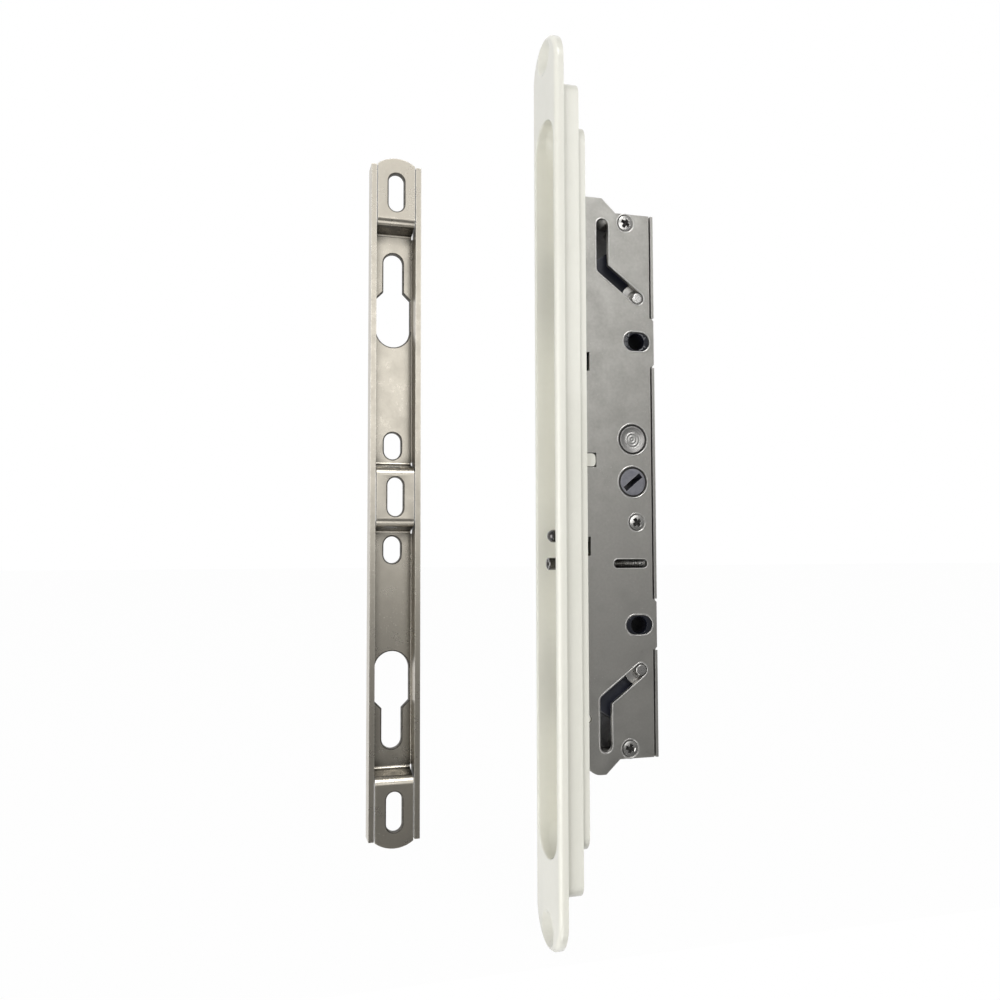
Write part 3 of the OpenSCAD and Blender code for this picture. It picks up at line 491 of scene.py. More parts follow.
class GroupKit:
    """Shader node groups that several finishes share, each built once."""

    WORN_SHEEN_REACH = 0.35     # millimetres that the rays for the lighter worn edges go at a Reach of 1
    DIM_REACH = 1.8         # millimetres that those for the painted shade in corners go at a Shade of 1

    def __init__(self) -> None:
        """Builds the four groups."""
        self.mottle = self._mottle()
        self.grain = self._grain()
        self.worn_sheen_and_shade = self._worn_edges_and_corner_shade()
        self.specks = self._specks()

    @staticmethod
    def _open(name: str, inputs: dict[str, float],
              outputs: list[str]) -> tuple[bpy.types.NodeTree, Tree, bpy.types.Node, bpy.types.Node]:
        """Makes an empty group with sockets.

        Args:
            name: Name of the group.
            inputs: Defaults of its float inputs by name; it has a Vector before them.
            outputs: Names of its float outputs.

        Returns:
            The group, its Tree, its input node and its output node.
        """
        group = bpy.data.node_groups.new(name, "ShaderNodeTree")
        group.interface.new_socket("Vector", in_out="INPUT", socket_type="NodeSocketVector")
        for label, default in inputs.items():
            socket = group.interface.new_socket(label, in_out="INPUT", socket_type="NodeSocketFloat")
            socket.default_value = default
        for label in outputs:
            group.interface.new_socket(label, in_out="OUTPUT", socket_type="NodeSocketFloat")
        tree = Tree(group)
        return group, tree, tree.add("NodeGroupInput"), tree.add("NodeGroupOutput")

    def _mottle(self) -> bpy.types.NodeTree:
        """Cloudy blotches at two scales, as rolled or plated metal shows. Puts out 0 to 1."""
        group, tree, start, end = self._open("cloudy_mottle", {"Scale": 90.0}, ["Mask"])
        clouds = []
        for finer, detail, share in ((1.0, 4.0, 0.68), (6.5, 2.0, 0.32)):
            scale = tree.math("MULTIPLY", start.outputs["Scale"], finer)
            cloud = tree.noise(start.outputs["Vector"], scale, detail, 0.5)
            clouds.append(tree.math("MULTIPLY", cloud, share))
        both = tree.math("ADD", *clouds)
        tree.link(tree.ramp(both, 0.34, 0.66), end.inputs["Mask"])
        return group

    def _grain(self) -> bpy.types.NodeTree:
        """Fine rolling grain: noise drawn out along Z. Puts out a height of 0 to 1."""
        group, tree, start, end = self._open(
            "rolling_grain", {"Scale": 4000.0, "Stretch": 0.04}, ["Height"])
        parts = tree.add("ShaderNodeSeparateXYZ")
        tree.link(start.outputs["Vector"], parts.inputs[0])
        drawn_out = tree.math("MULTIPLY", parts.outputs[2], start.outputs["Stretch"])
        whole = tree.add("ShaderNodeCombineXYZ")
        for number, part in enumerate((parts.outputs[0], parts.outputs[1], drawn_out)):
            tree.link(part, whole.inputs[number])
        height = tree.noise(whole.outputs[0], start.outputs["Scale"], 3.0, 0.5)
        tree.link(height, end.inputs["Height"])
        return group

    def _worn_edges_and_corner_shade(self) -> bpy.types.NodeTree:
        """Lighter outer edges and darker inner corners, found by short rays into and out of the piece.

        Near an outer edge the rays that go inwards leave the piece again, and near an inner
        corner those that go outwards meet it. The lighter edges are worn metal with a painted
        edge highlight, and the darker corners are painted shade. Puts out two masks of 0 to 1.
        """
        group, tree, start, end = self._open(
            "worn_edge_sheen_and_corner_shade", {"Edge": 0.5, "Corner": 0.5, "Reach": 1.0, "Shade": 1.0}, ["Rubbed", "Dim"])
        inwards = tree.add("ShaderNodeAmbientOcclusion", inside=True, only_local=True, samples=6)
        outwards = tree.add("ShaderNodeAmbientOcclusion", inside=False, only_local=True, samples=6)
        worn_sheen_reach = tree.math("MULTIPLY", start.outputs["Reach"], self.WORN_SHEEN_REACH * MM)
        dim_reach = tree.math("MULTIPLY", start.outputs["Shade"], self.DIM_REACH * MM)
        tree.link(worn_sheen_reach, inwards.inputs["Distance"])
        tree.link(dim_reach, outwards.inputs["Distance"])
        broken = tree.ramp(tree.noise(start.outputs["Vector"], 900.0, 3.0), 0.35, 0.6, 0.35, 1.0)
        worn_sheen = tree.math("MULTIPLY", tree.ramp(inwards.outputs["AO"], 0.85, 0.45), broken)
        dim = tree.ramp(outwards.outputs["AO"], 0.78, 0.42)
        tree.link(tree.math("MULTIPLY", worn_sheen, start.outputs["Edge"]), end.inputs["Rubbed"])
        tree.link(tree.math("MULTIPLY", dim, start.outputs["Corner"]), end.inputs["Dim"])
        return group

    def _specks(self) -> bpy.types.NodeTree:
        """Small bright specks in loose patches, as handling leaves on sheet. Puts out 0 to 1."""
        group, tree, start, end = self._open("bright_specks", {"Amount": 0.0}, ["Mask"])
        fine = tree.ramp(tree.noise(start.outputs["Vector"], 1500.0, 2.0), 0.64, 0.70)
        patches = tree.ramp(tree.noise(start.outputs["Vector"], 70.0, 2.0), 0.44, 0.62)
        mask = tree.math("MULTIPLY", fine, patches)
        tree.link(tree.math("MULTIPLY", mask, start.outputs["Amount"]), end.inputs["Mask"])
        return group


@dataclass(frozen=True)
class Finish:
    """A surface finish, as colours, gloss and the strength of each shared effect."""

    name: str
    colour: Colour
    second: Colour
    metallic: float = 1.0
    rough: float = 0.4
    rough_spread: float = 0.08
    mottle_scale: float = 90.0
    grain_scale: float = 4000.0
    grain_stretch: float = 0.04
    bump: float = 0.15
    bump_depth: float = 0.02        # millimetres
    # edge colour: lighter outer edges, worn metal with a painted edge highlight; corner_amount sets the
    # painted shade in inner corners
    edge: Colour = (0.8, 0.79, 0.76)
    edge_amount: float = 0.5
    corner_amount: float = 0.5
    corner_share: float = 0.12      # of the second colour that the painted shade in corners keeps
    worn_edge_sheen_reach: float = 1.0
    shade_reach: float = 1.0
    specks: float = 0.0
    coat: float = 0.0
    coat_rough: float = 0.1
    specular: float = 0.5

    def build(self, kit: GroupKit) -> bpy.types.Material:
        """Builds the finish as a material on Object coordinates.

        Args:
            kit: The shared groups.

        Returns:
            The material.
        """
        material = bpy.data.materials.new(self.name)
        material.use_nodes = True
        tree = Tree(material.node_tree)
        place = tree.add("ShaderNodeTexCoord").outputs["Object"]
        mottle = self._effect(tree, place, kit.mottle, Scale=self.mottle_scale)
        grain = self._effect(tree, place, kit.grain, Scale=self.grain_scale, Stretch=self.grain_stretch)
        worn_sheen_and_shade = self._effect(tree, place, kit.worn_sheen_and_shade, Edge=self.edge_amount, Corner=self.corner_amount,
                            Reach=self.worn_edge_sheen_reach, Shade=self.shade_reach)
        specks = self._effect(tree, place, kit.specks, Amount=self.specks)
        # painted shade in inner corners, then lighter outer edges: worn metal with a painted edge
        # highlight
        dimmed = tuple(self.corner_share * part for part in self.second)
        colour = tree.mix(mottle.outputs[0], self.colour, self.second)
        colour = tree.mix(specks.outputs[0], colour, self.edge)
        colour = tree.mix(worn_sheen_and_shade.outputs["Dim"], colour, dimmed)
        colour = tree.mix(worn_sheen_and_shade.outputs["Rubbed"], colour, self.edge)
        rough = tree.ramp(mottle.outputs[0], 0.0, 1.0, self.rough - self.rough_spread,
                          self.rough + self.rough_spread)
        bump = tree.add("ShaderNodeBump")
        bump.inputs["Strength"].default_value = self.bump
        bump.inputs["Distance"].default_value = self.bump_depth * MM
        tree.link(grain.outputs[0], bump.inputs["Height"])
        shader = tree.add("ShaderNodeBsdfPrincipled")
        shader.inputs["Metallic"].default_value = self.metallic
        shader.inputs["Specular IOR Level"].default_value = self.specular
        shader.inputs["Coat Weight"].default_value = self.coat
        shader.inputs["Coat Roughness"].default_value = self.coat_rough
        tree.link(colour, shader.inputs["Base Color"])
        tree.link(rough, shader.inputs["Roughness"])
        tree.link(bump.outputs[0], shader.inputs["Normal"])
        end = tree.add("ShaderNodeOutputMaterial")
        tree.link(shader.outputs[0], end.inputs["Surface"])
        return material

    @staticmethod
    def _effect(tree: Tree, place: bpy.types.NodeSocket, group: bpy.types.NodeTree,
                **values: float) -> bpy.types.Node:
        """Places a shared group in a material.

        Args:
            tree: The material's tree.
            place: Socket with the coordinates that the group reads.
            group: The group.
            values: Its inputs by name.

        Returns:
            The group's node.
        """
        node = tree.add("ShaderNodeGroup", node_tree=group)
        tree.link(place, node.inputs["Vector"])
        for label, value in values.items():
            node.inputs[label].default_value = value
        return node


CREAM = Finish(
    "cream_powder_coat", (0.86, 0.85, 0.765), (0.83, 0.82, 0.735), metallic=0.0, rough=0.32,
    rough_spread=0.04, mottle_scale=60.0, grain_scale=420.0, grain_stretch=0.12, bump=0.3,
    bump_depth=0.05, edge=(0.86, 0.85, 0.78), edge_amount=0.0, corner_amount=0.35, coat=0.45,
    coat_rough=0.07)
CASE_SHEET = Finish(
    "case_sheet_steel", (0.52, 0.51, 0.477), (0.43, 0.42, 0.391), rough=0.40, rough_spread=0.07,
    mottle_scale=150.0, bump=0.12, edge_amount=0.9, corner_amount=0.6, worn_edge_sheen_reach=1.3,
    shade_reach=1.3, specks=0.45)
# painted shade on the tray's inside, which shows only through the cover's slots
INNER_PAINTED_SHADE = Finish(
    "case_inside_painted_shade", (0.38, 0.38, 0.39), (0.28, 0.28, 0.29), metallic=0.3, rough=0.55,
    mottle_scale=200.0, edge_amount=0.0)
# strong painted shade along the keeper's inner corners, from corner_amount and shade_reach
KEEPER_SHEET = Finish(
    "keeper_sheet_steel", (0.54, 0.503, 0.432), (0.485, 0.45, 0.385), rough=0.29,
    rough_spread=0.025, mottle_scale=180.0, grain_scale=3000.0, grain_stretch=0.3, bump=0.2,
    edge=(0.88, 0.85, 0.76), edge_amount=0.9, corner_amount=1.0, worn_edge_sheen_reach=1.5, shade_reach=3.0,
    specks=0.5)
# painted shade on the keeper's inclines
INCLINE_PAINTED_SHADE = Finish(
    "keeper_incline_painted_shade", (0.13, 0.122, 0.108), (0.07, 0.066, 0.06), rough=0.30, mottle_scale=300.0,
    grain_scale=3000.0, grain_stretch=0.3, edge=(0.5, 0.48, 0.43), edge_amount=0.4,
    corner_amount=1.0, worn_edge_sheen_reach=1.5, shade_reach=1.5)
# painted shade on the walls and inner rims of the keeper's slots
HOLE_WALL_PAINTED_SHADE = Finish(
    "hole_wall_painted_shade", (0.13, 0.12, 0.105), (0.05, 0.046, 0.04), metallic=0.6, rough=0.5,
    mottle_scale=700.0, edge=(0.6, 0.58, 0.52), edge_amount=0.25)
ROCKER_FACE = Finish(
    "rocker_face", (0.5, 0.49, 0.475), (0.42, 0.41, 0.4), rough=0.36, rough_spread=0.06,
    mottle_scale=400.0, edge_amount=0.6)
HUB_ZINC = Finish(
    "hub_zinc", (0.36, 0.36, 0.39), (0.26, 0.26, 0.29), rough=0.42, mottle_scale=420.0,
    grain_scale=5000.0, grain_stretch=1.0, bump=0.3)
LEVER_STEEL = Finish(
    "lever_steel", (0.42, 0.41, 0.39), (0.34, 0.33, 0.32), rough=0.4, mottle_scale=200.0)
BOLT_ZINC = Finish(
    "bolt_zinc", (0.55, 0.54, 0.52), (0.45, 0.44, 0.42), rough=0.4, mottle_scale=240.0,
    grain_stretch=1.0, bump=0.25)
STUD_STEEL = Finish(
    "turned_steel", (0.66, 0.65, 0.63), (0.56, 0.55, 0.53), rough=0.26, rough_spread=0.05,
    mottle_scale=300.0, bump=0.1)
# steel of the trigger and the adjuster's head, darkened with painted shade for the dark surroundings they
# reflect
TRIGGER_PAINTED_SHADE = Finish(
    "trigger_painted_shade", (0.12, 0.115, 0.11), (0.07, 0.067, 0.064), rough=0.16, rough_spread=0.04,
    mottle_scale=400.0, bump=0.1, edge=(0.5, 0.49, 0.46), edge_amount=0.3, coat=0.8,
    coat_rough=0.04)
SCREW_NICKEL = Finish(
    "screw_nickel", (0.72, 0.71, 0.68), (0.62, 0.61, 0.59), rough=0.24, rough_spread=0.05,
    mottle_scale=500.0, bump=0.1)
BURR_STEEL = Finish(
    "pierced_edge_steel", (0.62, 0.61, 0.59), (0.46, 0.45, 0.43), rough=0.36, mottle_scale=700.0,
    bump=0.3)
# painted shade for the screws' cross recesses and the gaps round the hub and the rocker
RECESS_PAINTED_SHADE = Finish(
    "recess_painted_shade", (0.035, 0.034, 0.032), (0.07, 0.066, 0.062), metallic=0.3, rough=0.7,
    mottle_scale=900.0, edge=(0.1, 0.1, 0.09))
SPRING_WIRE = Finish(
    "spring_wire", (0.42, 0.42, 0.42), (0.34, 0.34, 0.34), rough=0.3, mottle_scale=300.0)
NUT_BRASS = Finish(
    "nut_brass", (0.62, 0.47, 0.24), (0.52, 0.38, 0.18), rough=0.32, mottle_scale=300.0)
SLOT_SHADE = Finish(
    "tail_slot_shade", (0.02, 0.021, 0.034), (0.035, 0.036, 0.05), metallic=0.2, rough=0.5,
    mottle_scale=500.0, edge_amount=0.2)
# bright steel thread, made lighter still as a painted highlight for its glints in the window
THREAD_PAINTED_HIGHLIGHT = Finish(
    "thread_painted_highlight", (0.86, 0.85, 0.82), (0.76, 0.75, 0.72), rough=0.42, mottle_scale=900.0)
BORE_SHADE = Finish(
    "bush_bore", (0.003, 0.003, 0.005), (0.005, 0.005, 0.008), metallic=0.0, rough=0.75,
    edge=(0.01, 0.01, 0.01), edge_amount=0.0, specular=0.05)
BAR_PLASTIC = Finish(
    "bar_plastic", (0.018, 0.020, 0.030), (0.026, 0.028, 0.040), metallic=0.0, rough=0.42,
    mottle_scale=300.0, grain_scale=3000.0, grain_stretch=1.0, bump=0.2, edge=(0.07, 0.07, 0.08))
BUSH_PLASTIC = Finish(
    "bush_plastic", (0.005, 0.006, 0.011), (0.008, 0.009, 0.015), metallic=0.0, rough=0.14,
    rough_spread=0.04, mottle_scale=200.0, grain_scale=2500.0, grain_stretch=1.0, bump=0.08,
    edge=(0.04, 0.04, 0.045), edge_amount=0.4, coat=0.8, coat_rough=0.05)


# Sub-assemblies of the object, each with its own class.


@dataclass
class Dresser:
    """What every sub-assembly needs: the frame and the finished materials."""

    frame: dict
    kit: GroupKit
    materials: dict[str, bpy.types.Material] = field(default_factory=dict)

    def material(self, finish: Finish) -> bpy.types.Material:
        """Gives the material of a finish, built on first use.

        Args:
            finish: The finish.

        Returns:
            Its material.
        """
        if finish.name not in self.materials:
            self.materials[finish.name] = finish.build(self.kit)
        return self.materials[finish.name]

    def place(self, piece: bpy.types.Object, body: Body, finish: Finish, slot: str) -> None:
        """Dresses a piece, lets it ride on its body and logs it.

        Args:
            piece: The finished object.
            body: Body that it moves with.
            finish: Its surface finish.
            slot: The record's material slot; not used.
        """
        piece.data.materials.clear()
        piece.data.materials.append(self.material(finish))
        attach(piece, body.value)
        LOG.info("%s: %d faces, rides on %s", piece.name, len(piece.data.polygons), body.value)

    def darken(self, piece: bpy.types.Object, finish: Finish, where: Chooser) -> None:
        """Gives some faces of a piece a second finish.

        Args:
            piece: A piece that is dressed already.
            finish: The second finish.
            where: Tells from the faces' middles, in millimetres, and normals which faces get it.
        """
        mesh = piece.data
        mesh.materials.append(self.material(finish))
        middles = np.empty(3 * len(mesh.polygons), np.float32)
        normals = np.empty(3 * len(mesh.polygons), np.float32)
        mesh.polygons.foreach_get("center", middles)
        mesh.polygons.foreach_get("normal", normals)
        chosen = where(middles.reshape(-1, 3) / MM, normals.reshape(-1, 3))
        slots = np.empty(len(mesh.polygons), np.int32)
        mesh.polygons.foreach_get("material_index", slots)
        slots[chosen] = len(mesh.materials) - 1
        mesh.polygons.foreach_set("material_index", slots)
        mesh.update()

    def repaint(self, node: str, finish: Finish) -> None:
        """Gives a CAD node that stays its material.

        Args:
            node: Name of the CAD node.
            finish: Its surface finish.
        """
        shown = self.frame["nodes"][node]
        shown.data.materials.clear()
        shown.data.materials.append(self.material(finish))
        LOG.info("%s: CAD node, %s", node, finish.name)


@dataclass(frozen=True)
class RecessEnds:
    """Hollow ramps that carry the recess's floor up to its two round ends.

    The tub's last step is shorter than the recess, so its floor stops short of the ends, and the
    ramps close what is left. All sizes are in millimetres.
    """

    width: float = 20.0             # of the recess
    length: float = 258.8
    floor_x: float = 6.4
    back_x: float = 6.0             # the tub's back, outside its last step
    inner_length: float = 252.0     # the hollow of the last step
    inner_width: float = 20.6
    inner_corner: float = 6.0
    rise: float = 7.8               # how far a ramp climbs up the wall
    reach: float = 8.5              # how far it runs out over the floor
    overlap: float = 0.1            # how far it enters the wall
    proud: float = 0.03             # how far it stands over the floor where it ends
    into_floor: float = 0.3         # depth of its underside in the floor
    into_back: float = 0.05         # and beside the floor, short of the tub's back
    margin: float = 0.15            # it leaves the floor this far inside the floor's edge
    spread: float = 0.495 * np.pi   # angle to each side of an end's pole

    def surface(self, side: int) -> Surface:
        """Works out one ramp as a closed solid.

        At the angle a from the end's pole and the distance d from the round wall, its top is at
        x = floor - rise * (1 - sqrt(1 - (1 - d / L)^2)) with L = reach * cos(a): a quarter of an
        ellipse that leaves the wall upright and meets the floor flat. Its underside lies just
        inside the tub's back, or in the floor where there is one.

        Args:
            side: 1 for the upper end, -1 for the lower one.

        Returns:
            Points in metres and the quads between them.
        """
        radius = self.width / 2
        a = np.linspace(-self.spread, self.spread, 49)[:, None]
        share = (1 - np.cos(np.linspace(0.0, np.pi / 2, 22)))[None, :]
        from_axis = radius + self.overlap - share * self.reach * np.cos(a)
        drop = self.rise * (1 - np.sqrt(1 - (1 - share) ** 2))
        x = self.floor_x + self.proud - drop + 0 * a
        y = from_axis * np.sin(a)
        z = self.length / 2 - radius + from_axis * np.cos(a)
        under = np.where(self._over_floor(y, z), self.floor_x + self.into_floor,
                         self.back_x - self.into_back)
        ring_x = np.concatenate([x, under[:, ::-1]], 1)
        ring_y = np.concatenate([y, y[:, ::-1]], 1)
        ring_z = side * np.concatenate([z, z[:, ::-1]], 1)
        points = np.stack([ring_x, ring_y, ring_z], -1)
        caps = points[[0, -1]].mean(axis=1, keepdims=True).repeat(points.shape[1], 1)
        points = np.concatenate([caps[:1], points, caps[1:]])
        return points * MM, grid_quads(len(points), points.shape[1])

    def _over_floor(self, y: np.ndarray, z: np.ndarray) -> np.ndarray:
        """Tells which places lie over the last step's floor, inside its rounded rectangle.

        Args:
            y: Places across the recess.
            z: Places along it, towards the end.

        Returns:
            Whether each place does.
        """
        over_y = np.maximum(np.abs(y) - (self.inner_width / 2 - self.inner_corner), 0.0)
        over_z = np.maximum(z - (self.inner_length / 2 - self.inner_corner), 0.0)
        return np.hypot(over_y, over_z) < self.inner_corner - self.margin


@dataclass
class Faceplate:
    """Cream casting: the faceplate with its recess, and the tub behind it."""

    dresser: Dresser
    edge_round: float = 0.3
    rim_round: float = 0.8
    ends: RecessEnds = RecessEnds()

    def build(self) -> None:
        """Makes and dresses the casting.

        The edges of the plate's front, which are its outline, the recess and the screw holes, are
        rounded more than the rest.
        """
        front = box_mm("faceplate_casting")[0].x
        casting = softened_copy(self.dresser.frame, "faceplate_casting", self.edge_round, 3,
                                lambda at: self.rim_round if abs(at.x - front) < ON_FACE else 0.0, 4)
        self.dresser.place(casting, Body.LOCK_CASE, CREAM, "cream_casting")
        ramps = new_piece("recess_end_ramps", *merged(*(self.ends.surface(side) for side in (1, -1))))
        self.dresser.place(ramps, Body.LOCK_CASE, CREAM, "cream_casting")
        self.dresser.repaint("faceplate_fixing_screws", SCREW_NICKEL)


@dataclass(frozen=True)
class CrossHeadScrew:
    """A countersunk screw with a cross recess, whose head faces -Y. Sizes are in millimetres."""

    x: float
    z: float
    turn: float                 # radians that the recess is turned by
    head_y: float = -8.3        # middle of the head's face
    head_d: float = 5.35
    dome: float = 0.22          # how far the face falls back to the rim
    rim_t: float = 0.62         # from the face's middle to the rim's foot
    cone_y: float = -6.75       # where the cone ends
    cone_d: float = 3.2
    shank_y: float = -6.4
    shank_d: float = 3.0
    end_y: float = 3.7
    recess: float = 1.1         # depth of the recess
    wing: float = 0.62          # half a wing's width
    slope: float = 0.2          # width of its slanting sides
    wing_reach: float = 1.75    # half a wing's length
    end_slope: float = 0.9

    def surface(self) -> Surface:
        """Works out the screw's surface.

        A head point at radius r and angle a lies at y = face + dome * (r / R)^2.5 + depth * cross,
        where cross is the depth share of the recess. Past the rim the same rings go on down the
        cone and the shank.

        Returns:
            Points in metres and the quads between them.
        """
        radius = self.head_d / 2
        share = np.concatenate([np.linspace(0.0, 0.86, 40), [0.93, 0.985, 1.0]])[:, None]
        a = np.linspace(0.0, 2.0 * np.pi, 160, endpoint=False)
        cross = cross_depth(radius * share * np.cos(a + self.turn), radius * share * np.sin(a + self.turn),
                            self.wing, self.slope, self.wing_reach, self.end_slope)
        face = self.head_y + self.dome * share ** 2.5 + self.recess * cross
        below = np.array([[self.head_y + self.rim_t, radius],
                          [self.cone_y, self.cone_d / 2],
                          [self.shank_y, self.shank_d / 2],
                          [self.end_y, self.shank_d / 2],
                          [self.end_y, 0.0]])
        y = np.concatenate([face, np.repeat(below[:, :1], len(a), 1)])
        r = np.concatenate([radius * share, below[:, 1:]])
        points = np.stack([r * np.cos(a) + self.x, y, r * np.sin(a) + self.z], -1)
        return points * MM, grid_quads(len(y), len(a))


@dataclass(frozen=True)
class Spindles:
    """Where the hub and the rocker turn, in millimetres, as the cover and the drive both need it."""

    x: float = 26.6
    radius: float = 5.0
    gap: float = 0.05       # between a spindle and the edge of the cover's opening

    @staticmethod
    def heights() -> tuple[float, float]:
        """Heights of the hub's axis and the rocker's."""
        return box_mm("hub")[1].z, box_mm("rocker")[1].z


@dataclass(frozen=True)
class Opening:
    """An opening of the cover and the bead that piercing it left. Sizes are in millimetres."""

    track: list[tuple[float, float]]    # middle line as (x, z) places, one for a round hole
    radius: float
    bead_width: float
    bead_height: float
    bead_gap: float                     # from the opening's edge to the bead
    chamfer: float = 0.0                # of a round hole's edge
    sunk: float = 0.1                   # how far the bead's underside lies in the sheet

    def bead(self, face_y: float) -> Surface:
        """Rounded bead that follows the opening's edge on a face across Y.

        A point is outline + out * normal at y = face - rise, where (out, rise) runs round half an
        ellipse of the bead's width and height and closes below the face.

        Args:
            face_y: Place of the face.

        Returns:
            Points in metres and the quads between them.
        """
        outline = track_outline(self.track, self.radius)
        ahead = np.roll(outline, -1, 0) - np.roll(outline, 1, 0)
        ahead /= np.linalg.norm(ahead, axis=1, keepdims=True) + 1e-12
        outwards = 1.0 if signed_area(outline) > 0 else -1.0
        normal = outwards * np.stack([ahead[:, 1], -ahead[:, 0]], -1)
        a = np.linspace(0.0, np.pi, 9)
        out = self.bead_gap + self.bead_width / 2 * (1 - np.cos(a))
        out = np.append(out, [self.bead_gap + self.bead_width, self.bead_gap])
        rise = np.append(self.bead_height * np.sin(a), [-self.sunk, -self.sunk])
        flat = outline[:, None] + out[None, :, None] * normal[:, None]
        y = np.broadcast_to(face_y - rise, flat.shape[:2])
        points = np.stack([flat[..., 0], y, flat[..., 1]], -1)
        points = np.concatenate([points, points[:1]])
        return points * MM, grid_quads(len(points), len(out))

    def from_rim(self, x: Number, z: Number) -> Number:
        """Distance of places from a round hole's edge, negative inside it."""
        return np.hypot(x - self.track[0][0], z - self.track[0][1]) - self.radius


@dataclass
class Case:
    """Sheet case: tray, cover, posts, screws and the bushes of the handle screws.

    Sizes are in millimetres. The openings are mirrored about the hub, but for the adjuster's
    window.
    """

    dresser: Dresser
    edge_round: float = 0.14
    bush_round: float = 0.2
    end_screw: tuple[float, float] = (24.6, 92.4)
    middle_screw: tuple[float, float] = (27.9, -14.2)
    screw_turns: tuple[float, float, float] = (0.55, 0.95, 0.25)
    screw_seat: float = 2.95                            # radius of the cover's openings for them
    screw_bright: float = 0.06                          # depth below their rims that the painted shade leaves out
    spindles: Spindles = Spindles()
    guide_run: tuple[float, float] = (13.2, 10.0)       # of the slanting part of a guide slot
    guide_end: float = 91.0
    guide_half: float = 2.2                             # half a guide slot's width
    handle_hole_z: float = 50.0
    handle_hole: tuple[float, float] = (9.8, 6.7)
    bore_reach: float = 2.9                             # covers the radius of the bushes' bores
    window: tuple[float, float] = (20.6, 30.2)          # ends of the adjuster window's middle line
    window_half: float = 1.5

    def _screw_places(self) -> list[tuple[float, float]]:
        """Places of the cover's screws, from the top down."""
        return [self.end_screw, self.middle_screw, (self.end_screw[0], -self.end_screw[1])]

    def _spindle_openings(self) -> list[Opening]:
        """Round openings for the hub and the rocker."""
        radius = self.spindles.radius + self.spindles.gap
        return [Opening([(self.spindles.x, z)], radius, bead_width=0.5, bead_height=0.1, bead_gap=0.34,
                        chamfer=0.3) for z in self.spindles.heights()]

    def _screw_openings(self) -> list[Opening]:
        """Round openings for the screws' heads."""
        return [Opening([place], self.screw_seat, bead_width=0.4, bead_height=0.07, bead_gap=0.16,
                        chamfer=0.12) for place in self._screw_places()]

    def _openings(self) -> list[Opening]:
        """All openings of the cover that have a bead."""
        pin = box_mm("upper_guide_pin")[1]
        bush = box_mm("handle_screw_bushes")[1]
        adjuster = box_mm("adjuster_nut")[1]
        run_x, run_z = self.guide_run
        long, high = self.handle_hole
        found = []
        for side in (1, -1):
            slanting = [(pin.x, side * pin.z), (pin.x - run_x, side * (pin.z + run_z))]
            upright = [(pin.x - run_x, side * self.guide_end)]
            found.append(Opening(slanting + upright, self.guide_half, bead_width=0.52, bead_height=0.11,
                                 bead_gap=0.06))
            ends = [(bush.x + end * (long - high) / 2, side * self.handle_hole_z) for end in (-1, 1)]
            found.append(Opening(ends, high / 2, bead_width=0.5, bead_height=0.1, bead_gap=0.06))
        window = [(x, adjuster.z) for x in self.window]
        found.append(Opening(window, self.window_half, bead_width=0.34, bead_height=0.06, bead_gap=0.05))
        return found + self._spindle_openings() + self._screw_openings()

    def _chamfer(self, at: Vector) -> float:
        """Gives the chamfer of an edge of the cover, which only the round openings have.

        Args:
            at: Middle of the edge.

        Returns:
            The chamfer's width, or 0.
        """
        if abs(at.y - box_mm("case_cover")[0].y) > ON_FACE:
            return 0.0
        for opening in self._spindle_openings() + self._screw_openings():
            if abs(opening.from_rim(at.x, at.z)) < ON_CIRCLE:
                return opening.chamfer
        return 0.0

    def _ring_gap(self, middles: np.ndarray, normals: np.ndarray) -> np.ndarray:
        """Chooses the chamfers and walls of the openings round the hub and the rocker, which get painted
        shade.

        Args:
            middles: Middles of the cover's faces.
            normals: Their normals.

        Returns:
            Whether each face belongs to them.
        """
        near = [hole.from_rim(middles[:, 0], middles[:, 2]) < hole.chamfer
                for hole in self._spindle_openings()]
        return np.any(near, axis=0) & (normals[:, 1] > -FACING)

    def _bush_bore(self, middles: np.ndarray, normals: np.ndarray) -> np.ndarray:
        """Chooses the walls of the bores through the bushes.

        Args:
            middles: Middles of the bushes' faces.
            normals: Their normals.

        Returns:
            Whether each face belongs to them.
        """
        bush_x = box_mm("handle_screw_bushes")[1].x
        r = np.hypot(middles[:, 0] - bush_x, np.abs(middles[:, 2]) - self.handle_hole_z)
        return (r < self.bore_reach) & (np.abs(normals[:, 1]) < 0.5)

    def build(self) -> None:
        """Makes and dresses the case's pieces."""
        frame = self.dresser.frame
        tray = softened_copy(frame, "case_tray", self.edge_round)
        self.dresser.place(tray, Body.LOCK_CASE, CASE_SHEET, "case_steel")
        # painted shade on the tray's inner face behind the slots
        self.dresser.darken(tray, INNER_PAINTED_SHADE, lambda c, n: (n[:, 1] < -0.9) & (c[:, 1] > 0.0))
        cover = softened_copy(frame, "case_cover", self.edge_round, rim=self._chamfer)
        self.dresser.place(cover, Body.LOCK_CASE, CASE_SHEET, "case_steel")
        # painted shade in the gaps round the hub and the rocker
        self.dresser.darken(cover, RECESS_PAINTED_SHADE, self._ring_gap)
        self._build_screws()
        face_y = box_mm("case_cover")[0].y
        beads = merged(*(opening.bead(face_y) for opening in self._openings()))
        edges = new_piece("cover_pierced_edges", *beads)
        self.dresser.place(edges, Body.LOCK_CASE, BURR_STEEL, "case_steel")
        bushes = softened_copy(frame, "handle_screw_bushes", self.bush_round)
        self.dresser.place(bushes, Body.LOCK_CASE, BUSH_PLASTIC, "bush_plastic")
        self.dresser.darken(bushes, BORE_SHADE, self._bush_bore)
        self.dresser.repaint("case_posts", BOLT_ZINC)

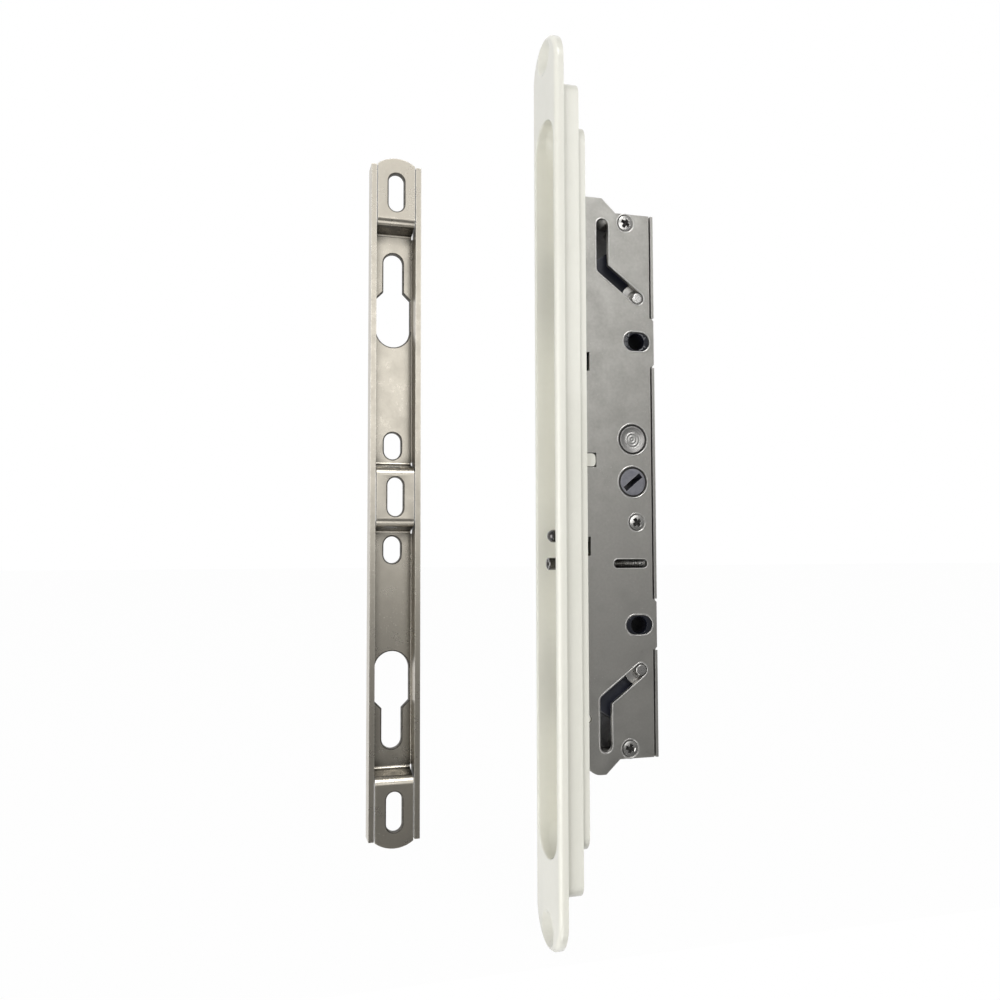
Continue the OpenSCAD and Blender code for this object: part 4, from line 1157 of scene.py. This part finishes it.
    def _build_screws(self) -> None:
        """Makes and dresses the cover's screws, whose recesses get painted shade below the rim."""
        places = zip(self._screw_places(), self.screw_turns)
        screws = [CrossHeadScrew(x, z, turn) for (x, z), turn in places]
        heads = new_piece("cover_screws", *merged(*(screw.surface() for screw in screws)))
        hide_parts("case_screws")
        self.dresser.place(heads, Body.LOCK_CASE, SCREW_NICKEL, "bright_screws")
        rim_y = screws[0].head_y + screws[0].dome + self.screw_bright
        self.dresser.darken(heads, RECESS_PAINTED_SHADE, lambda c, n: c[:, 1] > rim_y)


@dataclass
class Drive:
    """Hub, rocker, their levers and pins, and the two drive bars. Sizes are in millimetres."""

    dresser: Dresser
    spindles: Spindles = Spindles()
    edge_round: float = 0.14
    rim_chamfer: float = 0.36
    rim_y: float = -7.5             # the spindles' outer rims lie in front of this
    side_y: float = -6.5            # the cover's inner face
    bar_round: float = 0.25
    slot_reach: float = 4.3         # covers the half length of the hub's tail slot
    face_r: float = 3.22            # of the rocker's sunk face
    face_y: float = -7.57
    groove: float = 0.045           # half the depth of its grooves
    groove_pitch: float = 1.07
    back: float = 0.12              # from the face to where it closes inside the spindle

    def build(self) -> None:
        """Makes and dresses the drive's pieces."""
        hub_z, rocker_z = self.spindles.heights()
        hub = self._spindle("hub", hub_z, Body.HUB_SET, HUB_ZINC, "hub_zinc")
        self.dresser.darken(hub, SLOT_SHADE, self._tail_slot)
        self._spindle("rocker", rocker_z, Body.ROCKER_SET, ROCKER_FACE, "case_steel")
        rings = revolved(self._turned_face(), (self.spindles.x, 0.0, rocker_z), Along.Y, 96)
        turned = new_piece("rocker_turned_face", *rings)
        self.dresser.place(turned, Body.ROCKER_SET, ROCKER_FACE, "case_steel")
        for node in ("hub_lever", "rocker_lever"):
            self.dresser.repaint(node, LEVER_STEEL)
        for node in ("hub_drive_pin", "rocker_drive_pin"):
            self.dresser.repaint(node, STUD_STEEL)
        for node, body in (("upper_drive_bar", Body.UPPER_BAR), ("lower_drive_bar", Body.LOWER_BAR)):
            bar = softened_copy(self.dresser.frame, node, self.bar_round)
            self.dresser.place(bar, body, BAR_PLASTIC, "bar_plastic")

    def _spindle(self, node: str, z: float, body: Body, finish: Finish, slot: str) -> bpy.types.Object:
        """Makes and dresses a spindle, with painted shade on a chamfer round its rim on the cover's side.

        Args:
            node: Name of the CAD node.
            z: Height of its axis.
            body: Body that it moves with.
            finish: Its surface finish.
            slot: The record's material slot.

        Returns:
            The spindle.
        """
        axis_x = self.spindles.x
        radius = self.spindles.radius

        def rim(at: Vector) -> float:
            """Chamfer of an edge, by its middle."""
            outer = abs(math.hypot(at.x - axis_x, at.z - z) - radius) < ON_CIRCLE
            return self.rim_chamfer if outer and at.y < self.rim_y else 0.0

        def rim_faces(middles: np.ndarray, normals: np.ndarray) -> np.ndarray:
            """Faces of the chamfer and of the side under the cover, which get painted shade."""
            r = np.hypot(middles[:, 0] - axis_x, middles[:, 2] - z)
            outer = r > radius - self.rim_chamfer - ON_FACE
            return outer & (middles[:, 1] < self.side_y) & (normals[:, 1] > -FACING)

        spindle = softened_copy(self.dresser.frame, node, self.edge_round, rim=rim)
        self.dresser.place(spindle, body, finish, slot)
        # painted shade on the rim's chamfer and the side under the cover
        self.dresser.darken(spindle, RECESS_PAINTED_SHADE, rim_faces)
        return spindle

    def _tail_slot(self, middles: np.ndarray, normals: np.ndarray) -> np.ndarray:
        """Chooses the walls of the hub's tail slot.

        Args:
            middles: Middles of the hub's faces.
            normals: Their normals.

        Returns:
            Whether each face belongs to them.
        """
        r = np.hypot(middles[:, 0] - self.spindles.x, middles[:, 2])
        return (r < self.slot_reach) & (np.abs(normals[:, 1]) < 0.5) & (middles[:, 1] < 7.0)

    def _turned_face(self) -> np.ndarray:
        """Profile along Y of the rocker's sunk face, with the grooves that turning left.

        The face lies at y = face - groove * cos(2 pi r / pitch), just proud of the spindle's own,
        and closes inside it.

        Returns:
            Rows of (y, radius).
        """
        r = np.linspace(0.0, self.face_r, 72)
        face = np.stack([self.face_y - self.groove * np.cos(2 * np.pi * r / self.groove_pitch), r], -1)
        back_y = self.face_y + self.back
        return np.concatenate([face, [[back_y, self.face_r + 0.02], [back_y, 0.0]]])


@dataclass
class Bolts:
    """The two bolts: slide, mushroom stud and guide pin each. Sizes are in millimetres."""

    dresser: Dresser
    slide_round: float = 0.15
    pin_rim: float = 0.35           # rounding of a pin's outer end
    pin_edge: float = 0.5           # width of the flat ring inside it
    pin_chamfer: tuple[float, float] = (0.3, 0.25)      # of its inner end, along it and across
    head_r: float = 5.7
    head_t: float = 2.8
    head_round: float = 1.0         # rounding of the head's front
    back_round: float = 0.3
    dimple: float = 0.3             # depth of the dimple in its face
    dimple_r: tuple[float, float] = (1.2, 1.5)          # of its floor and its rim
    neck_r: float = 3.0
    neck_end: float = 4.6           # from the head's front
    stem_r: float = 1.75

    def build(self) -> None:
        """Makes and dresses both bolts."""
        pin_at = box_mm("upper_guide_pin")[1]
        stud_z = box_mm("upper_stud")[0].z + self.head_r
        for name, body, side in (("upper", Body.UPPER_BOLT, 1), ("lower", Body.LOWER_BOLT, -1)):
            slide = softened_copy(self.dresser.frame, f"{name}_bolt_slide", self.slide_round)
            self.dresser.place(slide, body, BOLT_ZINC, "bolt_zinc")
            pin = revolved(self._pin(), (pin_at.x, 0.0, side * pin_at.z), Along.Y)
            self._turned(f"{name}_pin_turned", pin, f"{name}_guide_pin", body)
            stud = revolved(self._stud(), (0.0, 0.0, side * stud_z), Along.X, 96)
            self._turned(f"{name}_stud_turned", stud, f"{name}_stud", body)

    def _turned(self, name: str, surface: Surface, node: str, body: Body) -> None:
        """Makes and dresses a turned piece in place of its CAD node.

        Args:
            name: Name of the piece.
            surface: Its points and quads.
            node: Name of the CAD node.
            body: Body that it moves with.
        """
        piece = new_piece(name, *surface)
        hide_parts(node)
        self.dresser.place(piece, body, STUD_STEEL, "stud_steel")

    def _pin(self) -> np.ndarray:
        """Profile of a guide pin along Y: a flat face, a rounded rim and the shank.

        Returns:
            Rows of (y, radius).
        """
        low, _, high = box_mm("upper_guide_pin")
        radius = (high.x - low.x) / 2
        along, across = self.pin_chamfer
        a = np.linspace(0.0, np.pi / 2, 6)
        rim_y = low.y + self.pin_rim * (1 - np.cos(a))
        rim = np.stack([rim_y, radius - self.pin_rim * (1 - np.sin(a))], -1)
        face = [[low.y, 0.0], [low.y, radius - self.pin_rim - self.pin_edge]]
        end = [[high.y - along, radius], [high.y, radius - across], [high.y, 0.0]]
        return np.concatenate([face, rim, end])

    def _stud(self) -> np.ndarray:
        """Profile of a mushroom stud along X: rounded head, filleted neck and stem.

        Returns:
            Rows of (x, radius).
        """
        low, _, high = box_mm("upper_stud")
        front = low.x
        back = front + self.head_t
        floor_r, rim_r = self.dimple_r
        a = np.linspace(0.0, np.pi / 2, 7)
        dimple = [[front + self.dimple, 0.0], [front + self.dimple, floor_r], [front, rim_r]]
        shoulder = np.stack([front + self.head_round * (1 - np.cos(a)),
                             self.head_r - self.head_round * (1 - np.sin(a))], -1)
        heel = np.stack([back - self.back_round * (1 - np.sin(a)),
                         self.head_r - self.back_round * (1 - np.cos(a))], -1)
        fillet = [[back, self.neck_r + 0.5], [back + 0.1, self.neck_r + 0.2], [back + 0.4, self.neck_r]]
        neck_end = front + self.neck_end
        stem = [[neck_end, self.neck_r], [neck_end, self.stem_r], [high.x, self.stem_r], [high.x, 0.0]]
        return np.concatenate([dimple, shoulder, heel, fillet, stem])


@dataclass
class RecessParts:
    """Trigger and reach adjuster, with the spring, guide, clip and nut. Sizes are in millimetres."""

    dresser: Dresser
    trigger_round: float = 0.1
    spring_turns: int = 7
    wire_r: float = 0.3
    screw_r: float = 2.2            # of the adjusting screw's head
    head_round: float = 0.25
    groove: tuple[float, float] = (9.75, 10.65)         # ends of the groove for the clip
    groove_r: float = 1.6
    head_end: float = 12.1
    thread_r: float = 1.98
    thread_depth: float = 0.38
    thread_pitch: float = 0.7
    end_r: float = 1.5

    def build(self) -> None:
        """Makes and dresses the pieces that stand in the recess and those behind them."""
        trigger = softened_copy(self.dresser.frame, "trigger_plunger", self.trigger_round)
        # the trigger is darkened with painted shade
        self.dresser.place(trigger, Body.TRIGGER, TRIGGER_PAINTED_SHADE, "stud_steel")
        self.dresser.repaint("trigger_guide", BAR_PLASTIC)
        spring = new_piece("trigger_spring_wound", *self._spring())
        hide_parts("trigger_spring")
        self.dresser.place(spring, Body.LOCK_CASE, SPRING_WIRE, "spring_wire")
        screw = new_piece("adjuster_screw_cut", *self._screw())
        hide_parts("adjuster_screw")
        # painted highlight on the thread
        self.dresser.place(screw, Body.ADJUSTER, THREAD_PAINTED_HIGHLIGHT, "bright_screws")
        # painted shade on the screw's head
        self.dresser.darken(screw, TRIGGER_PAINTED_SHADE, lambda c, n: c[:, 0] < self.groove[0])
        self.dresser.repaint("adjuster_clip", SPRING_WIRE)
        self.dresser.repaint("adjuster_nut", NUT_BRASS)

    def _spring(self) -> Surface:
        """Round wire along a helix.

        At the angle t along the helix and b round the wire, a point is at
        x = start + span * t / t_end + wire * sin(b), at coil + wire * cos(b) from the axis.

        Returns:
            Points in metres and the quads between them.
        """
        low, middle, high = box_mm("trigger_spring")
        coil = (high.z - low.z) / 2 - self.wire_r
        start = low.x + self.wire_r
        span = high.x - low.x - 2 * self.wire_r
        t = np.linspace(0.0, 2 * np.pi * self.spring_turns, 24 * self.spring_turns + 1)[:, None]
        b = np.linspace(0.0, 2 * np.pi, 10, endpoint=False)[None, :]
        out = coil + self.wire_r * np.cos(b)
        x = start + span * t / t[-1] + self.wire_r * np.sin(b)
        points = np.stack([x, out * np.cos(t), out * np.sin(t) + middle.z], -1)
        return points * MM, grid_quads(t.size, b.size)

    def _screw(self) -> Surface:
        """Adjusting screw along X with its recessed head, groove and helical thread.

        The thread's radius is r - depth * |2 * frac(x / pitch - a / 2 pi) - 1| round the axis.

        Returns:
            Points in metres and the quads between them.
        """
        low, _, high = box_mm("adjuster_screw")
        axis_z = box_mm("adjuster_nut")[1].z
        steps = 48
        a = np.linspace(0.0, 2 * np.pi, steps, endpoint=False)
        head_r = (self.screw_r - self.head_round) * np.linspace(0.0, 1.0, 26)[:, None]
        head_x = low.x + cross_depth(head_r * np.cos(a), head_r * np.sin(a), half=0.55, slope=0.2,
                                     reach=1.5, end_slope=0.5)
        groove_start, groove_end = self.groove
        plain = np.array([[low.x + self.head_round, self.screw_r],
                          [groove_start, self.screw_r],
                          [groove_start, self.groove_r],
                          [groove_end, self.groove_r],
                          [groove_end, self.screw_r],
                          [self.head_end, self.screw_r],
                          [self.head_end + 0.1, self.thread_r]])
        thread_x = np.arange(self.head_end + 0.2, high.x - 0.3, self.thread_pitch / 8)[:, None]
        phase = np.mod(thread_x / self.thread_pitch - a / (2 * np.pi), 1.0)
        thread_r = self.thread_r - self.thread_depth * np.abs(2 * phase - 1)
        end = np.array([[high.x, self.end_r], [high.x, 0.0]])
        parts_x = (head_x, plain[:, :1], thread_x, end[:, :1])
        parts_r = (head_r, plain[:, 1:], thread_r, end[:, 1:])
        x, r = (np.concatenate([part + 0 * a for part in parts]) for parts in (parts_x, parts_r))
        points = np.stack([x, r * np.cos(a), r * np.sin(a) + axis_z], -1)
        return points * MM, grid_quads(len(x), steps)


@dataclass
class Keeper:
    """The stamped keeper beside the lock. Sizes are in millimetres."""

    dresser: Dresser
    edge_round: float = 0.22
    slot_round: float = 0.5
    sheet: float = 2.0
    face_clear: float = 0.6         # the slots' faces lie this far inside the channel's walls
    edge_clear: float = 0.7         # and the edges of their rims this far
    end_clear: float = 3.0          # both lie this far from the keeper's ends

    def build(self) -> None:
        """Makes and dresses the keeper, whose slots are rounded more on the open side."""
        keeper = softened_copy(self.dresser.frame, "keeper", self.edge_round, 2, self._slot_rim, 2)
        self.dresser.place(keeper, Body.LOCK_CASE, KEEPER_SHEET, "keeper_steel")
        # painted shade on the slots' walls and rims
        self.dresser.darken(keeper, HOLE_WALL_PAINTED_SHADE, self._hole_walls)
        # painted shade on the inclines
        self.dresser.darken(keeper, INCLINE_PAINTED_SHADE, self._inclines)

    def _slot_rim(self, at: Vector) -> float:
        """Gives the rounding of an edge at a slot's rim, on the side that faces -Y.

        Args:
            at: Middle of the edge.

        Returns:
            The rounding's width, or 0.
        """
        low, middle, high = box_mm("keeper")
        inside = abs(at.x - middle.x) < high.x - middle.x - self.sheet - self.edge_clear
        clear = abs(at.z - middle.z) < high.z - middle.z - self.end_clear
        front = min(abs(at.y - low.y), abs(at.y - (high.y - self.sheet))) < ON_FACE
        return self.slot_round if inside and clear and front else 0.0

    def _hole_walls(self, middles: np.ndarray, normals: np.ndarray) -> np.ndarray:
        """Chooses the faces across the sheet inside the slots, with the rounded rims beside them, for
        painted shade.

        A wall stands upright to the floor, clear of the channel's walls, and a rim's face leans
        and lies within the rounding's width of a wall's face.

        Args:
            middles: Middles of the keeper's faces.
            normals: Their normals.

        Returns:
            Whether each face belongs to them.
        """
        _, middle, high = box_mm("keeper")
        inside = np.abs(middles[:, 0] - middle.x) < high.x - middle.x - self.sheet - self.face_clear
        clear = np.abs(middles[:, 2] - middle.z) < high.z - middle.z - self.end_clear
        leaning = np.abs(normals[:, 1])
        found = inside & clear & (leaning < 0.12)
        rims = np.flatnonzero(inside & clear & ~found & (leaning < FACING))
        walls = middles[found][:, (0, 2)]
        apart = np.linalg.norm(middles[rims][:, None, (0, 2)] - walls[None], axis=2).min(axis=1)
        found[rims[apart < 1.2 * self.slot_round]] = True
        return found

    @staticmethod
    def _inclines(middles: np.ndarray, normals: np.ndarray) -> np.ndarray:
        """Chooses the steep faces where the floor rises to the screw seats, by their normals, for painted
        shade.
        """
        steep = np.abs(normals[:, 1])
        return (0.15 < steep) & (steep < 0.5) & (np.abs(normals[:, 2]) > 0.8)


# Studio round the object, in metres.


def seen_directly(tree: Tree) -> bpy.types.NodeSocket:
    """Adds a Light Path node.

    Args:
        tree: Tree that it goes into.

    Returns:
        A socket that gives 1 for camera, glossy and transmission rays, else 0.
    """
    paths = tree.add("ShaderNodeLightPath")
    glossy = tree.math("MAXIMUM", paths.outputs["Is Glossy Ray"], paths.outputs["Is Transmission Ray"])
    return tree.math("MAXIMUM", paths.outputs["Is Camera Ray"], glossy)


@dataclass(frozen=True)
class Panel:
    """A soft rectangular lamp that faces the middle of the object, in metres and watts."""

    name: str
    place: Point
    width: float
    height: float
    power: float

    def build(self) -> None:
        """Makes the lamp."""
        data = bpy.data.lights.new(self.name, "AREA")
        data.shape = "RECTANGLE"
        data.size = self.width
        data.size_y = self.height
        data.energy = self.power
        lamp = bpy.data.objects.new(self.name, data)
        lamp.location = self.place
        lamp.rotation_mode = "QUATERNION"
        lamp.rotation_quaternion = (-Vector(self.place)).to_track_quat("-Z", "Y")
        bpy.context.scene.collection.objects.link(lamp)


@dataclass
class Studio:
    """Camera at the photo's viewpoint, pale floor, soft lamps and world."""

    camera_at: Point = (-0.1028, -0.2998, -0.0229)
    yaw: float = math.radians(15.48)
    pitch: float = math.radians(3.03)
    roll: float = math.radians(-0.14)
    lens: float = 32.4
    floor_z: float = -0.1606
    floor_front: float = -0.012
    floor_half: float = 6.0
    dim_below: float = 0.13         # level of the world's light from below
    light_above: float = 0.33       # and from above
    window_x: float = 0.1           # middle of the window, as a direction
    window_level: float = 2.35
    panels: tuple[Panel, ...] = (
        Panel("front_strip", (0.37, -0.95, 0.42), 0.07, 0.45, 0.32),
        Panel("top_panel", (0.1, -1.9, 2.05), 1.0, 1.0, 29.0),
        Panel("left_panel", (-0.95, -0.6, -0.15), 0.8, 1.2, 8.8),
        Panel("low_panel", (-0.2, -1.4, -1.7), 1.2, 1.0, 9.0))

    def build(self) -> None:
        """Makes the camera, the floor, the world and the lamps."""
        self._camera()
        self._floor()
        self._world()
        for panel in self.panels:
            panel.build()

    def _camera(self) -> None:
        """Makes the camera from its place and its yaw, pitch and roll.

        It looks along +Y turned by the yaw to +X and by the pitch to +Z.
        """
        level = Vector((math.sin(self.yaw), math.cos(self.yaw), 0.0))
        ahead = level * math.cos(self.pitch) + Vector((0.0, 0.0, math.sin(self.pitch)))
        right = Vector((level.y, -level.x, 0.0))
        tilt = Matrix.Rotation(-self.roll, 3, ahead)
        up = tilt @ right.cross(ahead)
        right = tilt @ right
        data = bpy.data.cameras.new("photo_camera")
        data.lens = self.lens
        data.sensor_width = 36.0
        data.clip_start = 0.01
        data.clip_end = 50.0
        camera = bpy.data.objects.new("photo_camera", data)
        turn = Matrix((right, up, -ahead)).transposed().to_4x4()
        camera.matrix_world = Matrix.Translation(self.camera_at) @ turn
        bpy.context.scene.collection.objects.link(camera)
        bpy.context.scene.camera = camera

    def _floor(self) -> None:
        """Makes a pale floor under the lock, which shows white and keeps a soft shadow."""
        half = self.floor_half
        corners = [(-half, self.floor_front, self.floor_z), (half, self.floor_front, self.floor_z),
                   (half, half, self.floor_z), (-half, half, self.floor_z)]
        mesh = bpy.data.meshes.new("pale_floor")
        mesh.from_pydata(corners, [], [[0, 1, 2, 3]])
        floor = bpy.data.objects.new("pale_floor", mesh)
        bpy.context.scene.collection.objects.link(floor)
        material = bpy.data.materials.new("pale_floor")
        material.use_nodes = True
        tree = Tree(material.node_tree)
        matt = tree.add("ShaderNodeBsdfDiffuse", in_0=(0.82, 0.82, 0.82, 1.0))
        glow = tree.add("ShaderNodeEmission", in_0=(1.0, 1.0, 1.0, 1.0), in_1=1.0)
        blend = tree.add("ShaderNodeMixShader")
        tree.link(tree.math("MULTIPLY", seen_directly(tree), 0.98), blend.inputs[0])
        tree.link(matt.outputs[0], blend.inputs[1])
        tree.link(glow.outputs[0], blend.inputs[2])
        end = tree.add("ShaderNodeOutputMaterial")
        tree.link(blend.outputs[0], end.inputs["Surface"])
        mesh.materials.append(material)

    def _world(self) -> None:
        """Makes the world.

        It is white to the camera and, in reflections, behind the object. Elsewhere it falls
        softly from light above to dim below, with a bright window in front.
        """
        world = bpy.data.worlds.new("studio_world")
        world.use_nodes = True
        bpy.context.scene.world = world
        tree = Tree(world.node_tree)
        parts = tree.add("ShaderNodeSeparateXYZ")
        tree.link(tree.add("ShaderNodeTexCoord").outputs["Generated"], parts.inputs[0])
        right, behind, above = parts.outputs
        fall = tree.ramp(above, -0.30, 0.36, self.dim_below, self.light_above)
        level = tree.math("ADD", fall, self._window(tree, right, behind, above))
        backdrop = tree.math("MULTIPLY", tree.ramp(behind, 0.0, 0.35), seen_directly(tree))
        camera_ray = tree.add("ShaderNodeLightPath").outputs["Is Camera Ray"]
        shown = tree.math("MAXIMUM", backdrop, camera_ray)
        grey = tree.add("ShaderNodeCombineXYZ")
        for socket in grey.inputs:
            tree.link(level, socket)
        colour = tree.mix(shown, grey.outputs[0], (1.0, 1.0, 1.0))
        back = tree.add("ShaderNodeBackground", in_1=1.0)
        tree.link(colour, back.inputs[0])
        end = tree.add("ShaderNodeOutputWorld")
        tree.link(back.outputs[0], end.inputs["Surface"])

    def _window(self, tree: Tree, right: bpy.types.NodeSocket, behind: bpy.types.NodeSocket,
                above: bpy.types.NodeSocket) -> bpy.types.NodeSocket:
        """Adds the bright window in front, with soft edges on all sides.

        Args:
            tree: The world's tree.
            right: The direction's part along X.
            behind: Its part along Y.
            above: Its part along Z.

        Returns:
            Socket with the window's level.
        """
        sides = tree.math("ABSOLUTE", tree.math("SUBTRACT", right, self.window_x))
        upright = tree.math("MULTIPLY", tree.ramp(above, -0.02, 0.07), tree.ramp(above, 0.37, 0.28))
        shape = tree.math("MULTIPLY", upright, tree.ramp(sides, 0.20, 0.06))
        return tree.math("MULTIPLY", shape, tree.ramp(behind, 0.0, -0.3, 0.0, self.window_level))


def main() -> None:
    """Builds the studio and the looks over the frame."""
    logging.basicConfig(level=logging.INFO, format="%(message)s")
    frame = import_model()
    Studio().build()
    dresser = Dresser(frame, GroupKit())
    for part in (Faceplate(dresser), Case(dresser), Drive(dresser), Bolts(dresser), RecessParts(dresser),
                 Keeper(dresser)):
        part.build()
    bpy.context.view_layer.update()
    scene = bpy.context.scene
    scene.view_settings.view_transform = "Standard"


if __name__ == "__main__":
    main()
